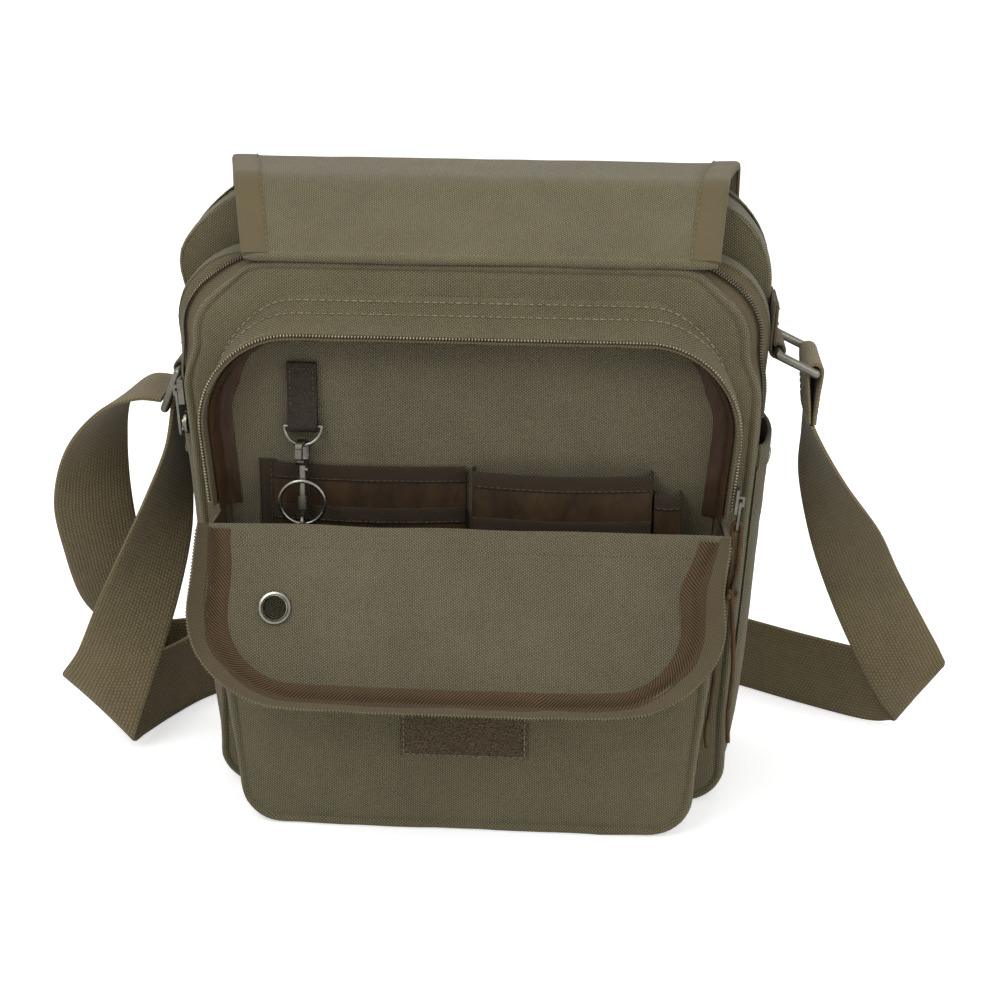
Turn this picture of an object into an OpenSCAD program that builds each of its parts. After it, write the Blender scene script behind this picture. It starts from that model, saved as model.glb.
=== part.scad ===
// Canvas messenger bag with an organiser pocket.
// +X is the bag's right as seen from the front, -Y the front, +Z up.
// The origin is under the middle of the bag on the surface that it stands on.

/* [Body] */
// Width of the body at the bottom
bottom_w = 230; // [200:1:260]
// Width that the sides reach at the full height
top_w = 262; // [232:1:290]
// Height of the main compartment
main_h = 275; // [250:1:300]
// Depth of the main compartment
main_d = 45; // [30:1:70]
// Height of the front compartment
front_h = 250; // [235:1:262]
// Depth of the front compartment
front_d = 34; // [28:1:50]
// Corner radius at the top of both compartments
top_r = 50; // [35:1:60]
// Corner radius at the bottom of both compartments
bottom_r = 18; // [8:1:24]
// Thickness of a canvas panel
canvas_t = 1.8; // [1.2:0.1:2.4]
// Thickness of the lining
lining_t = 0.7; // [0.4:0.1:1.2]

/* [Organiser pocket] */
// Width of the pocket at its bottom
pocket_bottom_w = 198; // [180:1:204]
// Width that its sides reach at its full height
pocket_top_w = 236; // [200:1:240]
// Height of the pocket
pocket_h = 221; // [205:1:226]
// Depth from the front panel to the pocket's face
pocket_d = 35; // [34:1:45]
// Corner radius at the pocket's top
pocket_top_r = 40; // [25:1:48]
// Corner radius at the pocket's bottom
pocket_bottom_r = 24; // [12:1:30]
// Height of the fold that the pocket door hangs from
fold_z = 143; // [125:1:155]
// Depth of the door's rim, from its face to the zip
door_rim_d = 16.7; // [12:0.1:18]
// How far the door hangs open in degrees
door_open = 155; // [120:1:158]

/* [Zips] */
// Width of a closed zip with both tapes
zip_w = 14; // [12:0.5:18]
// Thickness of the tape
tape_t = 1; // [0.6:0.1:1.2]
// Width of the closed coil
coil_w = 5; // [4:0.5:6]
// Height of the coil above the canvas
coil_rise = 1.4; // [0.8:0.1:2]
// Height of the lower ends of the two compartment zips
zip_end_z = 180; // [165:1:190]
// Length of a slider
slider_l = 11; // [8:0.5:14]
// Travel of a slider along the straight side
slider_travel = 24; // [10:1:26]
// Length of a metal pull
pull_l = 21; // [14:1:26]
// Length of the pocket's shorter pull
pocket_pull_l = 14; // [11:1:16]

/* [Organiser] */
// Height of the slots' bottom seam
slot_bottom = 62; // [40:1:80]
// Height of the top edge of the upper card slots
slot_top = 160; // [150:1:170]
// Step down from one card slot to the next
slot_step = 18; // [14:1:22]
// Gap that a card slides into
slot_gap = 0.9; // [0.8:0.1:1.4]
// Width of the left card column
left_slot_w = 86; // [70:1:92]
// Width of the right column
right_slot_w = 78; // [70:1:84]
// Inner depth of the phone pocket
phone_d = 9.5; // [8:0.1:10.5]
// Width of the pen pocket
pen_w = 13; // [11:0.5:14]
// Inner depth of the pen pocket
pen_d = 9; // [8:0.5:11]
// Height of a binding tape
bind_h = 7; // [5:0.5:10]
// Thickness of a binding tape
bind_t = 0.5; // [0.4:0.1:0.8]

/* [Flap] */
// Half width of the flap at the front seam
flap_seam_hw = 97; // [85:1:105]
// Half width of the flap at the rear fold
flap_hw = 115; // [100:1:118]
// Thickness of the flap
flap_t = 2.4; // [1.6:0.1:3]
// Length of the tail that carries the closure strip
tail_l = 147; // [120:1:160]
// Width of the bound edge
edge_w = 12; // [8:0.5:16]
// Thickness of the bound edge over the flap
edge_t = 0.8; // [0.5:0.1:1]

/* [Closure strip] */
// Width of the hook and loop strips
strip_w = 56; // [40:1:80]
// Height of the strips
strip_h = 23; // [15:1:30]
// Thickness of each strip
strip_t = 1.2; // [0.8:0.1:1.6]
// Height of the lower edge of the loop strip
strip_z = 37; // [25:1:50]

/* [Grommet] */
// Radius of the cable hole
grommet_r = 4.7; // [4:0.1:6]
// Outer radius of the rims
grommet_rim_r = 7.3; // [6.5:0.1:9]
// Distance from the middle of the door
grommet_x = 79; // [60:1:84]
// Distance from the fold
grommet_up = 35; // [25:1:45]

/* [Key leash] */
// Distance of the leash from the middle of the pocket
leash_x = 72.5; // [60:0.5:78]
// Radius of the wire of the D ring
dring_wire = 0.8; // [0.7:0.1:1]
// Radius of the D ring's bow
dring_r = 8.1; // [7.5:0.1:9]
// Length of the leather tab
tab_l = 28; // [20:1:34]
// Width of the leather tab
tab_w = 13; // [11:0.5:14]
// Radius of the key ring
keyring_r = 9.9; // [8:0.1:10.2]
// Radius of the key ring's wire
keyring_wire = 0.9; // [0.7:0.1:1]

/* [Strap] */
// Width of the shoulder strap
strap_w = 38; // [30:1:40]
// Thickness of the shoulder strap
strap_t = 2; // [1.4:0.1:2.4]
// Radius of the wire of the strap rings
ring_wire = 1.9; // [1.5:0.1:2.2]
// Distance between the bars of a strap ring
ring_reach = 18; // [15:0.5:22]
// Height of the right ring's inner bar
ring_z_right = 208; // [196:1:214]
// Height of the left ring's inner bar
ring_z_left = 194; // [192:1:210]
// Width of the ring tabs
ring_tab_w = 28; // [20:1:30]

/* [Side pockets] */
// Height of the snap on the left side
snap_z = 174; // [150:1:178]
// Height of a side pocket's hem
side_h = 168; // [120:1:172]
// Width of a side pocket along the bag's depth
side_w = 60; // [45:1:66]
// Room between the bag and the pocket's wall
side_room = 5.4; // [4.2:0.1:8]

/* [Hidden] */
$fn = 40;

olive = "#69624a";
olive_light = "#7a7052";
brown = "#4a3626";
dark_leather = "#3a2a20";
webbing = "#625a42";
steel = "#8d8a82";

// Clearance between pieces of different bodies, and between sewn layers
gap = 0.3;
seam_gap = 0.1;
// Steps in a quarter circle of an outline's corner
arc_steps = 6;

// Depth stations of the bag, front to back
front_y = -22;
mid_y = front_y + front_d;
back_y = mid_y + main_d;
pocket_y = front_y - pocket_d;

// Compartment zips: depth of each coil
front_zip_y = front_y + canvas_t + zip_w / 2 + 0.4;
main_zip_y = back_y - 13;
// Pocket zip: the line where the door's half meets the frame's half
pocket_split_y = pocket_y + door_rim_d;
pocket_half_tape = 9.7;

function unit(v) = v / norm(v);
function left_of(v) = [-v[1], v[0]];
function turn(v, a) = [v[0] * cos(a) - v[1] * sin(a), v[0] * sin(a) + v[1] * cos(a)];

// Corner of an outline moved inwards by d, for an outline that runs anticlockwise
function inset_corner(p, i, d) =
  let (n = len(p), a = unit(p[i] - p[(i + n - 1) % n]), b = unit(p[(i + 1) % n] - p[i]))
  p[i] + (left_of(a) + left_of(b)) * d / (1 + a * b);
function inset(p, d) = [for (i = [0 : len(p) - 1]) inset_corner(p, i, d)];

// Points of one rounded corner
function corner_arc(p, i, r) =
  let (n = len(p), a = unit(p[i] - p[(i + n - 1) % n]), b = unit(p[(i + 1) % n] - p[i]),
       bend = acos(a * b), c = p[i] + (left_of(a) + left_of(b)) * r / (1 + a * b),
       start = -left_of(a) * r)
  [for (k = [0 : arc_steps]) c + turn(start, bend * k / arc_steps)];
function rounded(p, r) = [for (i = [0 : len(p) - 1], q = corner_arc(p, i, r[i])) q];

function trapezoid(w0, w1, h) = [[-w0 / 2, 0], [w0 / 2, 0], [w1 / 2, h], [-w1 / 2, h]];
function shrink(r, d) = [for (v = r) max(v - d, 0.5)];

// Half width of the body at a height
function side_x(z) = bottom_w / 2 + (top_w - bottom_w) / 2 * z / main_h;
function pocket_x(z) = pocket_bottom_w / 2 + (pocket_top_w - pocket_bottom_w) / 2 * z / pocket_h;

body_radii = [bottom_r, bottom_r, top_r, top_r];
pocket_radii = [pocket_bottom_r, pocket_bottom_r, pocket_top_r, pocket_top_r];
function body_outline(h, d) =
  rounded(inset(trapezoid(bottom_w, 2 * side_x(h), h), d), shrink(body_radii, d));
function pocket_outline(d) =
  rounded(inset(trapezoid(pocket_bottom_w, pocket_top_w, pocket_h), d), shrink(pocket_radii, d));

// Plate with an outline in X and Z, from y0 to y1
module plate(points, y0, y1) {
  translate([0, y1, 0])
    rotate([90, 0, 0])
      linear_extrude(y1 - y0) polygon(points);
}

// Wall that follows an outline, from inset d0 to inset d1
module body_wall(h, d0, d1, y0, y1) {
  difference() {
    plate(body_outline(h, d0), y0, y1);
    plate(body_outline(h, d1), y0 - 1, y1 + 1);
  }
}
module pocket_wall(d0, d1, y0, y1) {
  difference() {
    plate(pocket_outline(d0), y0, y1);
    plate(pocket_outline(d1), y0 - 1, y1 + 1);
  }
}
// Half spaces above and below a height
module above(z) {
  intersection() {
    children();
    translate([-300, -300, z]) cube([600, 600, 600]);
  }
}
module below(z) {
  intersection() {
    children();
    translate([-300, -300, z - 600]) cube([600, 600, 600]);
  }
}
module zip_slot(y, w) {
  translate([-300, y - w / 2, zip_end_z]) cube([600, w, 300]);
}

// ---- Body ----
module back_panel() {
  color(olive) plate(body_outline(main_h, 0), back_y - canvas_t, back_y);
}
module main_gusset() {
  color(olive)
    difference() {
      body_wall(main_h, 0, canvas_t, mid_y + canvas_t, back_y - canvas_t);
      zip_slot(main_zip_y, zip_w);
    }
}
module divider_panel() {
  color(olive) plate(body_outline(main_h, 0), mid_y, mid_y + canvas_t);
}
module front_gusset() {
  color(olive)
    difference() {
      body_wall(front_h, 0, canvas_t, front_y + canvas_t, mid_y);
      zip_slot(front_zip_y, zip_w);
    }
}
module front_panel() {
  color(olive) plate(body_outline(front_h, 0), front_y, front_y + canvas_t);
}

// Lining bag of a compartment, cut away under its zip
module lining_bag(h, y0, y1, zip_y) {
  outer = canvas_t + seam_gap;
  color(brown)
    difference() {
      plate(body_outline(h, outer), y0 + seam_gap, y1 - seam_gap);
      plate(body_outline(h, outer + lining_t), y0 + seam_gap + lining_t, y1 - seam_gap - lining_t);
      zip_slot(zip_y, zip_w);
    }
}
module main_lining() {
  lining_bag(main_h, mid_y + canvas_t, back_y - canvas_t, main_zip_y);
}
module front_lining() {
  lining_bag(front_h, front_y + canvas_t, mid_y, front_zip_y);
}

// Closed zip in a compartment's slot: both tapes and the coil over them
module body_zip(h, y) {
  tape_in = canvas_t - tape_t;
  tape_w = zip_w - 2 * seam_gap;
  color(olive)
    above(zip_end_z + seam_gap)
      body_wall(h, tape_in, canvas_t, y - tape_w / 2, y + tape_w / 2);
  color(steel)
    above(zip_end_z + 2)
      body_wall(h, -coil_rise, tape_in, y - coil_w / 2, y + coil_w / 2);
}
module main_zip() {
  body_zip(main_h, main_zip_y);
}
module front_zip() {
  body_zip(front_h, front_zip_y);
}

// ---- Organiser pocket, the part that stays on the bag ----
tape_y = pocket_split_y + gap / 2 + pocket_half_tape;
module pocket_gusset() {
  color(olive) {
    union() {
      below(fold_z) pocket_wall(0, canvas_t, pocket_y + canvas_t, front_y);
      above(fold_z) pocket_wall(0, canvas_t, tape_y, front_y);
    }
  }
}
module pocket_lower_panel() {
  color(olive) below(fold_z) plate(pocket_outline(0), pocket_y, pocket_y + canvas_t);
}
module pocket_piping() {
  color(olive) below(fold_z - 6) pocket_wall(3, 5.5, pocket_y - 1, pocket_y);
}
module pocket_lining() {
  inner = canvas_t + seam_gap;
  color(brown)
    union() {
      below(fold_z - 1)
        pocket_wall(inner, inner + lining_t, pocket_y + canvas_t + 0.2, front_y - 0.2);
      above(fold_z - 1)
        pocket_wall(inner, inner + lining_t, tape_y, front_y - 0.2);
    }
}
// Half of the opened pocket zip: tape with a half coil on its edge
module half_zip(tape0, tape1, coil0, coil1) {
  color(olive) above(fold_z + gap) pocket_wall(0.4, 0.4 + tape_t, tape0, tape1);
  color(steel) above(fold_z + 4) pocket_wall(-coil_rise, 0.4, coil0, coil1);
}
module pocket_zip() {
  y = pocket_split_y + gap / 2;
  half_zip(y, tape_y - seam_gap, y, y + coil_w / 2);
}

// ---- Inside the organiser ----
wall_y = front_y - 0.2;
panel_t = 1.4;
slot_y = wall_y - panel_t;
slot_t = 1;
slot_pitch = slot_gap + slot_t;
left_x = -left_slot_w - 1;
right_x = 1;
module organiser_panel() {
  color(olive) plate(pocket_outline(4), wall_y - panel_t, wall_y);
}
// Pocket sewn at both sides and the bottom, open at the top
module sewn_pocket(x, w, top, y_back, room) {
  web = 2;
  difference() {
    translate([x, y_back - room - slot_t, slot_bottom]) cube([w, room + slot_t, top - slot_bottom]);
    translate([x + web, y_back - room, slot_bottom + web]) cube([w - 2 * web, room + 1, top]);
  }
}
// Tape folded over the top edge of a pocket's wall
module edge_tape(x, w, top, y_front) {
  translate([x, y_front - bind_t, top - bind_h]) cube([w, bind_t, bind_h + bind_t]);
  translate([x + seam_gap, y_front, top]) cube([w - 2 * seam_gap, slot_t, bind_t]);
}
module card_slots_left() {
  color(brown)
    for (i = [0 : 2])
      sewn_pocket(left_x, left_slot_w, slot_top - i * slot_step, slot_y - i * slot_pitch, slot_gap);
}
phone_front_y = slot_y - phone_d - slot_t;
module phone_pocket() {
  color(brown) sewn_pocket(right_x, right_slot_w, slot_top + 1, slot_y, phone_d);
}
module card_slots_right() {
  color(brown)
    for (i = [0 : 1])
      sewn_pocket(right_x, right_slot_w, slot_top - (i + 1) * slot_step - 1,
                  phone_front_y - i * slot_pitch, slot_gap);
}
pen_x = right_x + right_slot_w + 0.2;
pen_top = slot_top - 8;
module pen_pocket() {
  color(brown) sewn_pocket(pen_x, pen_w, pen_top, slot_y, pen_d);
}
module slot_bindings() {
  color(brown) {
    for (i = [0 : 2])
      edge_tape(left_x, left_slot_w, slot_top - i * slot_step, slot_y - (i + 1) * slot_pitch);
    edge_tape(right_x, right_slot_w, slot_top + 1, phone_front_y);
    for (i = [1 : 2])
      edge_tape(right_x, right_slot_w, slot_top - i * slot_step - 1, phone_front_y - i * slot_pitch);
    edge_tape(pen_x, pen_w, pen_top, slot_y - pen_d - slot_t);
    translate([left_x - 5 - seam_gap, slot_y - 1, slot_bottom]) cube([5, 1, slot_top + 2 - slot_bottom]);
  }
}
module loop_strip() {
  color(brown)
    translate([-strip_w / 2, pocket_y - strip_t, strip_z]) cube([strip_w, strip_t, strip_h]);
}

// ---- Key leash ----
leash_clear = 0.3;
tab_fold_r = dring_wire + leash_clear + 1.6;
dring_y = slot_y - 0.1 - tab_fold_r;
dring_z = 177.5;
dring_tilt = 17;
// Wire position at the bottom of the D ring's bow
bow_y = dring_y - dring_r * sin(dring_tilt);
bow_z = dring_z - dring_r * cos(dring_tilt);
hook_tilt = 8.5;
hook_len = 34.1;
eye_y = bow_y - hook_len * sin(hook_tilt);
eye_z = bow_z - hook_len * cos(hook_tilt);
keyring_tilt = -1;

// The hook hangs turned about its own length
hook_turn = 20;
// Places children on the leash with Z along the hook, seen from the eye
module on_leash() {
  translate([-leash_x, eye_y, eye_z]) rotate([-hook_tilt, 0, 0]) children();
}
module on_hook() {
  on_leash() rotate([0, 0, -hook_turn]) children();
}
module torus(R, r) {
  rotate_extrude($fn = 48) translate([R, 0]) circle(r, $fn = 20);
}
module key_tab() {
  color(dark_leather)
    difference() {
      union() {
        translate([-leash_x - tab_w / 2, slot_y - 0.1 - 3.4, dring_z])
          cube([tab_w, 3.4, tab_l]);
        translate([-leash_x - tab_w / 2, dring_y, dring_z])
          rotate([0, 90, 0]) cylinder(r = tab_fold_r, h = tab_w);
      }
      translate([-leash_x - tab_w, dring_y, dring_z])
        rotate([0, 90, 0]) cylinder(r = dring_wire + leash_clear, h = 2 * tab_w);
    }
}
module key_dring() {
  color(steel)
    translate([-leash_x, dring_y, dring_z])
      rotate([-dring_tilt, 0, 0]) {
        translate([-dring_r, 0, 0]) rotate([0, 90, 0]) cylinder(r = dring_wire, h = 2 * dring_r);
        rotate([90, 180, 0])
          rotate_extrude(angle = 180, $fn = 48) translate([dring_r, 0]) circle(dring_wire, $fn = 20);
        for (s = [-1, 1]) translate([s * dring_r, 0, 0]) sphere(dring_wire, $fn = 20);
      }
}
// Hook frame along Z: claw around the D ring's wire at hook_len, swivel barrel at the bottom
claw_in = 2.6;
claw_wall = 1.4;
claw_t = 3.2;
claw_top = hook_len + dring_wire + leash_clear - claw_in;
claw_low = 29;
gate_low = 28.6;
gate_top = 32.6;
barrel_z0 = 6;
barrel_z1 = 12;
shank_r = 1;
module claw_slot(r, t) {
  for (z = [claw_low, claw_top])
    translate([0, 0, z]) rotate([0, 90, 0]) cylinder(r = r, h = t, center = true);
  translate([-t / 2, -r, claw_low]) cube([t, 2 * r, claw_top - claw_low]);
}
module snap_hook() {
  color(steel)
    on_hook()
      difference() {
        union() {
          claw_slot(claw_in + claw_wall, claw_t);
          translate([0, 0, barrel_z1 - 1]) cylinder(r = 1.7, h = claw_low - barrel_z1 - 1.6);
          translate([0, 0, barrel_z0]) cylinder(r = 2.5, h = barrel_z1 - barrel_z0);
          translate([claw_t / 2 - 0.2, 0, claw_low - 5.6])
            rotate([0, 90, 0]) cylinder(r = 1.1, h = 1.6);
        }
        claw_slot(claw_in, claw_t + 1);
        translate([-claw_t, -claw_in - claw_wall - 1, gate_low - 2])
          cube([2 * claw_t, claw_wall + 1.6, gate_top - gate_low + 2.3]);
        translate([0, 0, barrel_z0 - 1]) cylinder(r = shank_r + leash_clear, h = 3);
        translate([0, 0, barrel_z0 + 1.4]) cylinder(r = 1.6 + leash_clear, h = 2.6);
      }
}
module hook_gate() {
  color(steel)
    on_hook()
      translate([0, -claw_in - claw_wall / 2, gate_low]) {
        translate([-claw_t / 2, -claw_wall / 2, 0])
          cube([claw_t, claw_wall, gate_top - gate_low]);
        rotate([0, 90, 0]) cylinder(r = claw_wall / 2, h = claw_t, center = true);
      }
}
module swivel_eye() {
  color(steel)
    on_leash()
      union() {
        rotate([0, 90, 0]) torus(2.9, 0.9);
        translate([0, 0, 2.9]) cylinder(r = shank_r, h = barrel_z0 + 1.8 - 2.9);
        translate([0, 0, barrel_z0 + 1.7]) cylinder(r = 1.6, h = 1.6);
      }
}
module key_ring() {
  seat = 2.9 - 0.9 - keyring_wire - 0.3;
  color(steel)
    translate([-leash_x, eye_y, eye_z - seat])
      rotate([-keyring_tilt, 0, 0])
        translate([0, 0, keyring_r]) rotate([90, 0, 0]) torus(keyring_r, keyring_wire);
}

// ---- Side pockets, ring tabs and snap ----
module side_pouch() {
  y0 = (front_y + back_y) / 2 - side_w / 2 + 4;
  z0 = bottom_r;
  out = side_room + canvas_t;
  wall = [[side_x(z0), z0], [side_x(z0) + out, z0], [side_x(side_h) + out, side_h],
          [side_x(side_h), side_h]];
  room = [[side_x(z0 + 2) - 5, z0 + 2], [side_x(z0 + 2) + side_room, z0 + 2],
          [side_x(side_h + 5) + side_room, side_h + 5], [side_x(side_h + 5) - 5, side_h + 5]];
  difference() {
    plate(wall, y0, y0 + side_w);
    plate(room, y0 + 2, y0 + side_w - 2);
    plate([for (z = [z0 - 1, side_h + 6]) [side_x(z), z],
           for (z = [side_h + 6, z0 - 1]) [side_x(z) - 9, z]], y0 - 1, y0 + side_w + 1);
  }
}
module side_pocket_right() {
  color(olive) side_pouch();
}
module side_pocket_left() {
  color(olive) mirror([1, 0, 0]) side_pouch();
}
ring_y = 15.5;
snap_y = -14;
tab_t = 1.8;
bar_fold_r = ring_wire + gap + tab_t;
function ring_x(z) = side_x(z) + bar_fold_r + 0.5;
// Webbing tab: a fold round the ring's inner bar and a leaf sewn up the side
module ring_tab(z) {
  leaf_z = z + 22;
  leaf = [[side_x(z) + seam_gap, z], [side_x(z) + seam_gap + tab_t, z],
          [side_x(leaf_z) + seam_gap + tab_t, leaf_z], [side_x(leaf_z) + seam_gap, leaf_z]];
  difference() {
    union() {
      plate(leaf, ring_y - ring_tab_w / 2, ring_y + ring_tab_w / 2);
      translate([ring_x(z), ring_y + ring_tab_w / 2, z])
        rotate([90, 0, 0]) cylinder(r = bar_fold_r, h = ring_tab_w);
    }
    translate([ring_x(z), ring_y + ring_tab_w, z])
      rotate([90, 0, 0]) cylinder(r = ring_wire + gap, h = 2 * ring_tab_w);
  }
}
module ring_tab_right() {
  color(brown) ring_tab(ring_z_right);
}
module ring_tab_left() {
  color(brown) mirror([1, 0, 0]) ring_tab(ring_z_left);
}
module side_snap() {
  color(steel)
    on_left_side(snap_y, snap_z)
      translate([seam_gap, 0, 0])
        rotate([0, 90, 0]) {
          cylinder(r = 5, h = 1.2);
          cylinder(r = 2.4, h = 2.4);
        }
}

// Rectangular ring in its own plane, bars along Y and arms along X
ring_len = strap_w + 4;
module ring_frame() {
  for (x = [0, ring_reach])
    translate([x, ring_len / 2, 0]) rotate([90, 0, 0]) cylinder(r = ring_wire, h = ring_len, $fn = 24);
  for (y = [-1, 1])
    translate([0, y * ring_len / 2, 0])
      rotate([0, 90, 0]) cylinder(r = ring_wire, h = ring_reach, $fn = 24);
  for (x = [0, ring_reach], y = [-1, 1])
    translate([x, y * ring_len / 2, 0]) sphere(ring_wire, $fn = 24);
}
right_drop = 26;
left_drop = 68;
module ring_right() {
  color(steel)
    translate([ring_x(ring_z_right), ring_y, ring_z_right]) rotate([0, right_drop, 0]) ring_frame();
}
module ring_left() {
  color(steel)
    mirror([1, 0, 0])
      translate([ring_x(ring_z_left), ring_y, ring_z_left]) rotate([0, left_drop, 0]) ring_frame();
}
// Outer bars
bar_rx = ring_x(ring_z_right) + ring_reach * cos(right_drop);
bar_rz = ring_z_right - ring_reach * sin(right_drop);
bar_lx = -ring_x(ring_z_left) - ring_reach * cos(left_drop);
bar_lz = ring_z_left - ring_reach * sin(left_drop);

turn_in = ring_wire + gap;
turn_out = turn_in + strap_t;
loop_drop = 24;
// Sewn loop that holds the right ring: fold, two leaves and the stitched lap
module strap_loop_right() {
  y0 = ring_y - strap_w / 2;
  inner = [[-turn_in, 0], [turn_in, 0], [0.3, -loop_drop + 6], [-0.3, -loop_drop + 6]];
  outer = [[-turn_out, 0], [turn_out, 0], [strap_t + 0.3, -loop_drop], [-strap_t + 0.3, -loop_drop]];
  color(webbing)
    translate([bar_rx, y0 + strap_w, bar_rz])
      rotate([90, 0, 0])
        difference() {
          union() {
            cylinder(r = turn_out, h = strap_w);
            linear_extrude(strap_w) polygon(outer);
          }
          translate([0, 0, -1]) cylinder(r = turn_in, h = strap_w + 2);
          translate([0, 0, -1]) linear_extrude(strap_w + 2) polygon(inner);
        }
}
// Strap where it runs over the left ring's outer bar
turn_angle = 110;
module strap_turn_left() {
  color(webbing)
    translate([bar_lx, ring_y + strap_w / 2, bar_lz])
      rotate([90, 0, 0])
        difference() {
          cylinder(r = turn_out, h = strap_w);
          translate([0, 0, -1]) cylinder(r = turn_in, h = strap_w + 2);
          translate([-10, -20, -1]) cube([20, 20, strap_w + 2]);
          rotate([0, 0, turn_angle]) translate([0, 0, -1]) cube([20, 20, strap_w + 2]);
        }
}

// ---- Shoulder strap ----
// Stations: the strap's middle, then half of its width as a direction. The direction is
// longer than 1 at a fold, where the strap is crossed at a slant.
long_route = [
  [[148, 15.5, 175.4], [0, -1, 0]],
  [[151.5, 17, 162], [0.2, -0.98, 0]],
  [[157, 22, 142], [0.5, -0.86, 0.1]],
  [[169, 31, 114], [0.78, -0.58, 0.25]],
  [[180, 41, 87], [0.84, -0.4, 0.36]],
  [[194, 48, 58], [0.87, -0.25, 0.45]],
  [[207, 50, 34], [0.7, -0.3, 0.8]],
  [[213, 53, 23], [0.5, -0.4, 0.98]],
  [[206, 60, 21.5], [0.2, -0.2, 1.02]],
  [[190, 67, 19.6], [0, 0, 1]],
  [[160, 84, 19.3], [0, 0, 1]],
  [[125, 106, 19.3], [0, 0, 1]],
  [[90, 124, 20.5], [0, 0, 1]],
  [[66, 132, 22.5], [0, 0, 1]],
  [[58, 132, 22.5], [0, 0, 1]],
  [[0, 132, 22.5], [0, 0, 1]],
  [[-8, 132, 22.5], [0, 0, 1]],
  [[-50, 124, 20.5], [0, 0, 1]],
  [[-85, 109, 19.6], [0, 0, 1]],
  [[-118, 89, 19.3], [0, 0, 1]],
  [[-140, 68, 19.3], [0, 0, 1]],
  [[-153, 46, 19.3], [0, 0, 1]],
  [[-165, 24, 20.5], [-0.2, 0, 1]],
  [[-178, 13, 21.5], [-0.75, 0.2, 0.92]],
  [[-179, 6, 26], [-0.9, 0, 0.75]],
  [[-170, 5, 46], [-0.9, -0.1, 0.42]],
  [[-158, 6, 78], [-0.9, -0.4, 0.15]],
  [[-148, 9, 108], [-0.72, -0.7, 0]],
  [[-141, 12, 136], [-0.36, -0.93, 0]],
  [[-136.5, 14.5, 158], [-0.1, -0.99, 0]],
  [[-134.7, 15.5, 176.6], [0, -1, 0]]
];
short_route = [
  [[-139.7, 15.5, 180.1], [0, 1, 0]],
  [[-152, 16, 180.2], [0, 1, 0]],
  [[-166, 18, 171], [0.15, 0.98, -0.1]],
  [[-177, 23, 149], [0.55, 0.83, -0.15]],
  [[-182, 29, 120], [0.87, 0.48, -0.1]],
  [[-181, 38, 90], [0.97, 0.2, -0.05]],
  [[-178, 49, 60], [0.98, 0.1, -0.15]],
  [[-174, 61, 33], [0.78, 0.1, -0.7]],
  [[-167, 70, 22.5], [0.35, 0.1, -0.98]],
  [[-148, 81, 19.5], [0, 0, -1]],
  [[-124, 97, 19.3], [0, 0, -1]],
  [[-88, 117, 19.6], [0, 0, -1]],
  [[-50, 131, 21], [0, 0, -1]],
  [[-10, 135.2, 22.5], [0, 0, -1]],
  [[6.4, 135.3, 22.5], [0, 0, -1]]
];
ribbon_steps = 4;
// The routes are laid beside a body of this half width, and move out or in with the sides
route_side_z = 150;
route_side_x = 123.7;
function beside(p) =
  [p[0] + sign(p[0]) * (side_x(route_side_z) - route_side_x) * min(abs(p[0]) / route_side_x, 1), p[1], p[2]];
// Smooth curve through four neighbouring values, at t between the middle two
function smooth(a, b, c, d, t) =
  (2 * b + (c - a) * t + (2 * a - 5 * b + 4 * c - d) * t * t + (3 * b - a - 3 * c + d) * t * t * t) / 2;
function stations(route, k) =
  let (n = len(route))
  [for (i = [0 : n - 2], j = [0 : ribbon_steps - 1])
     smooth(route[max(i - 1, 0)][k], route[i][k], route[i + 1][k], route[min(i + 2, n - 1)][k],
            j / ribbon_steps),
   route[n - 1][k]];
// Flat ribbon swept through a route
module ribbon(route) {
  mid = [for (p = stations(route, 0)) beside(p)];
  half = stations(route, 1);
  n = len(mid);
  rings = [for (i = [0 : n - 1])
             let (along = mid[min(i + 1, n - 1)] - mid[max(i - 1, 0)], h = half[i] * strap_w / 2,
                  face = unit(cross(along, h)) * strap_t / 2)
             each [mid[i] - h - face, mid[i] + h - face, mid[i] + h + face, mid[i] - h + face]];
  sides = [for (i = [0 : n - 2], k = [0 : 3])
             let (a = 4 * i + k, b = 4 * i + (k + 1) % 4)
             each [[a, b, b + 4], [a, b + 4, a + 4]]];
  ends = [[0, 2, 1], [0, 3, 2], [4 * n - 4, 4 * n - 3, 4 * n - 2], [4 * n - 4, 4 * n - 2, 4 * n - 1]];
  polyhedron(rings, concat(sides, ends));
}
module strap_long() {
  color(webbing) ribbon(long_route);
}
module strap_short() {
  color(webbing) ribbon(short_route);
}
// Sliding adjuster: rails above and below the strap, outer bars behind it, middle bar in front
adjuster_x = 20;
adjuster_y = 132;
adjuster_z = 22.5;
adjuster_l = 26;
bar_w = 4;
module strap_adjuster() {
  rail = 2.6;
  half_h = strap_w / 2 + gap;
  off = strap_t / 2 + gap;
  color(steel)
    translate([adjuster_x, adjuster_y, adjuster_z]) {
      for (s = [0, 1])
        mirror([0, 0, s])
          translate([-adjuster_l / 2, -off - rail, half_h]) cube([adjuster_l, 2 * (off + rail), rail]);
      for (x = [-adjuster_l / 2, adjuster_l / 2 - bar_w])
        translate([x, off, -half_h]) cube([bar_w, rail, 2 * half_h]);
      translate([-bar_w / 2, -off - rail, -half_h]) cube([bar_w, rail, 2 * half_h]);
    }
}

// ---- Flap, lying back over the top ----
hinge_y = front_y - 0.9;
hinge_z = front_h + 1.2;
fold_front_y = mid_y;
flap_z = main_h + coil_rise + 0.6 + flap_t / 2;
fold_back_y = back_y + 2.4;
front_len = norm([fold_front_y - hinge_y, flap_z - hinge_z]);
front_rise = atan2(flap_z - hinge_z, fold_front_y - hinge_y);
top_len = fold_back_y - fold_front_y;
seam_cut = 0.8;
soft_cut = 0.8;
hard_cut = 1.5;
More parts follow.
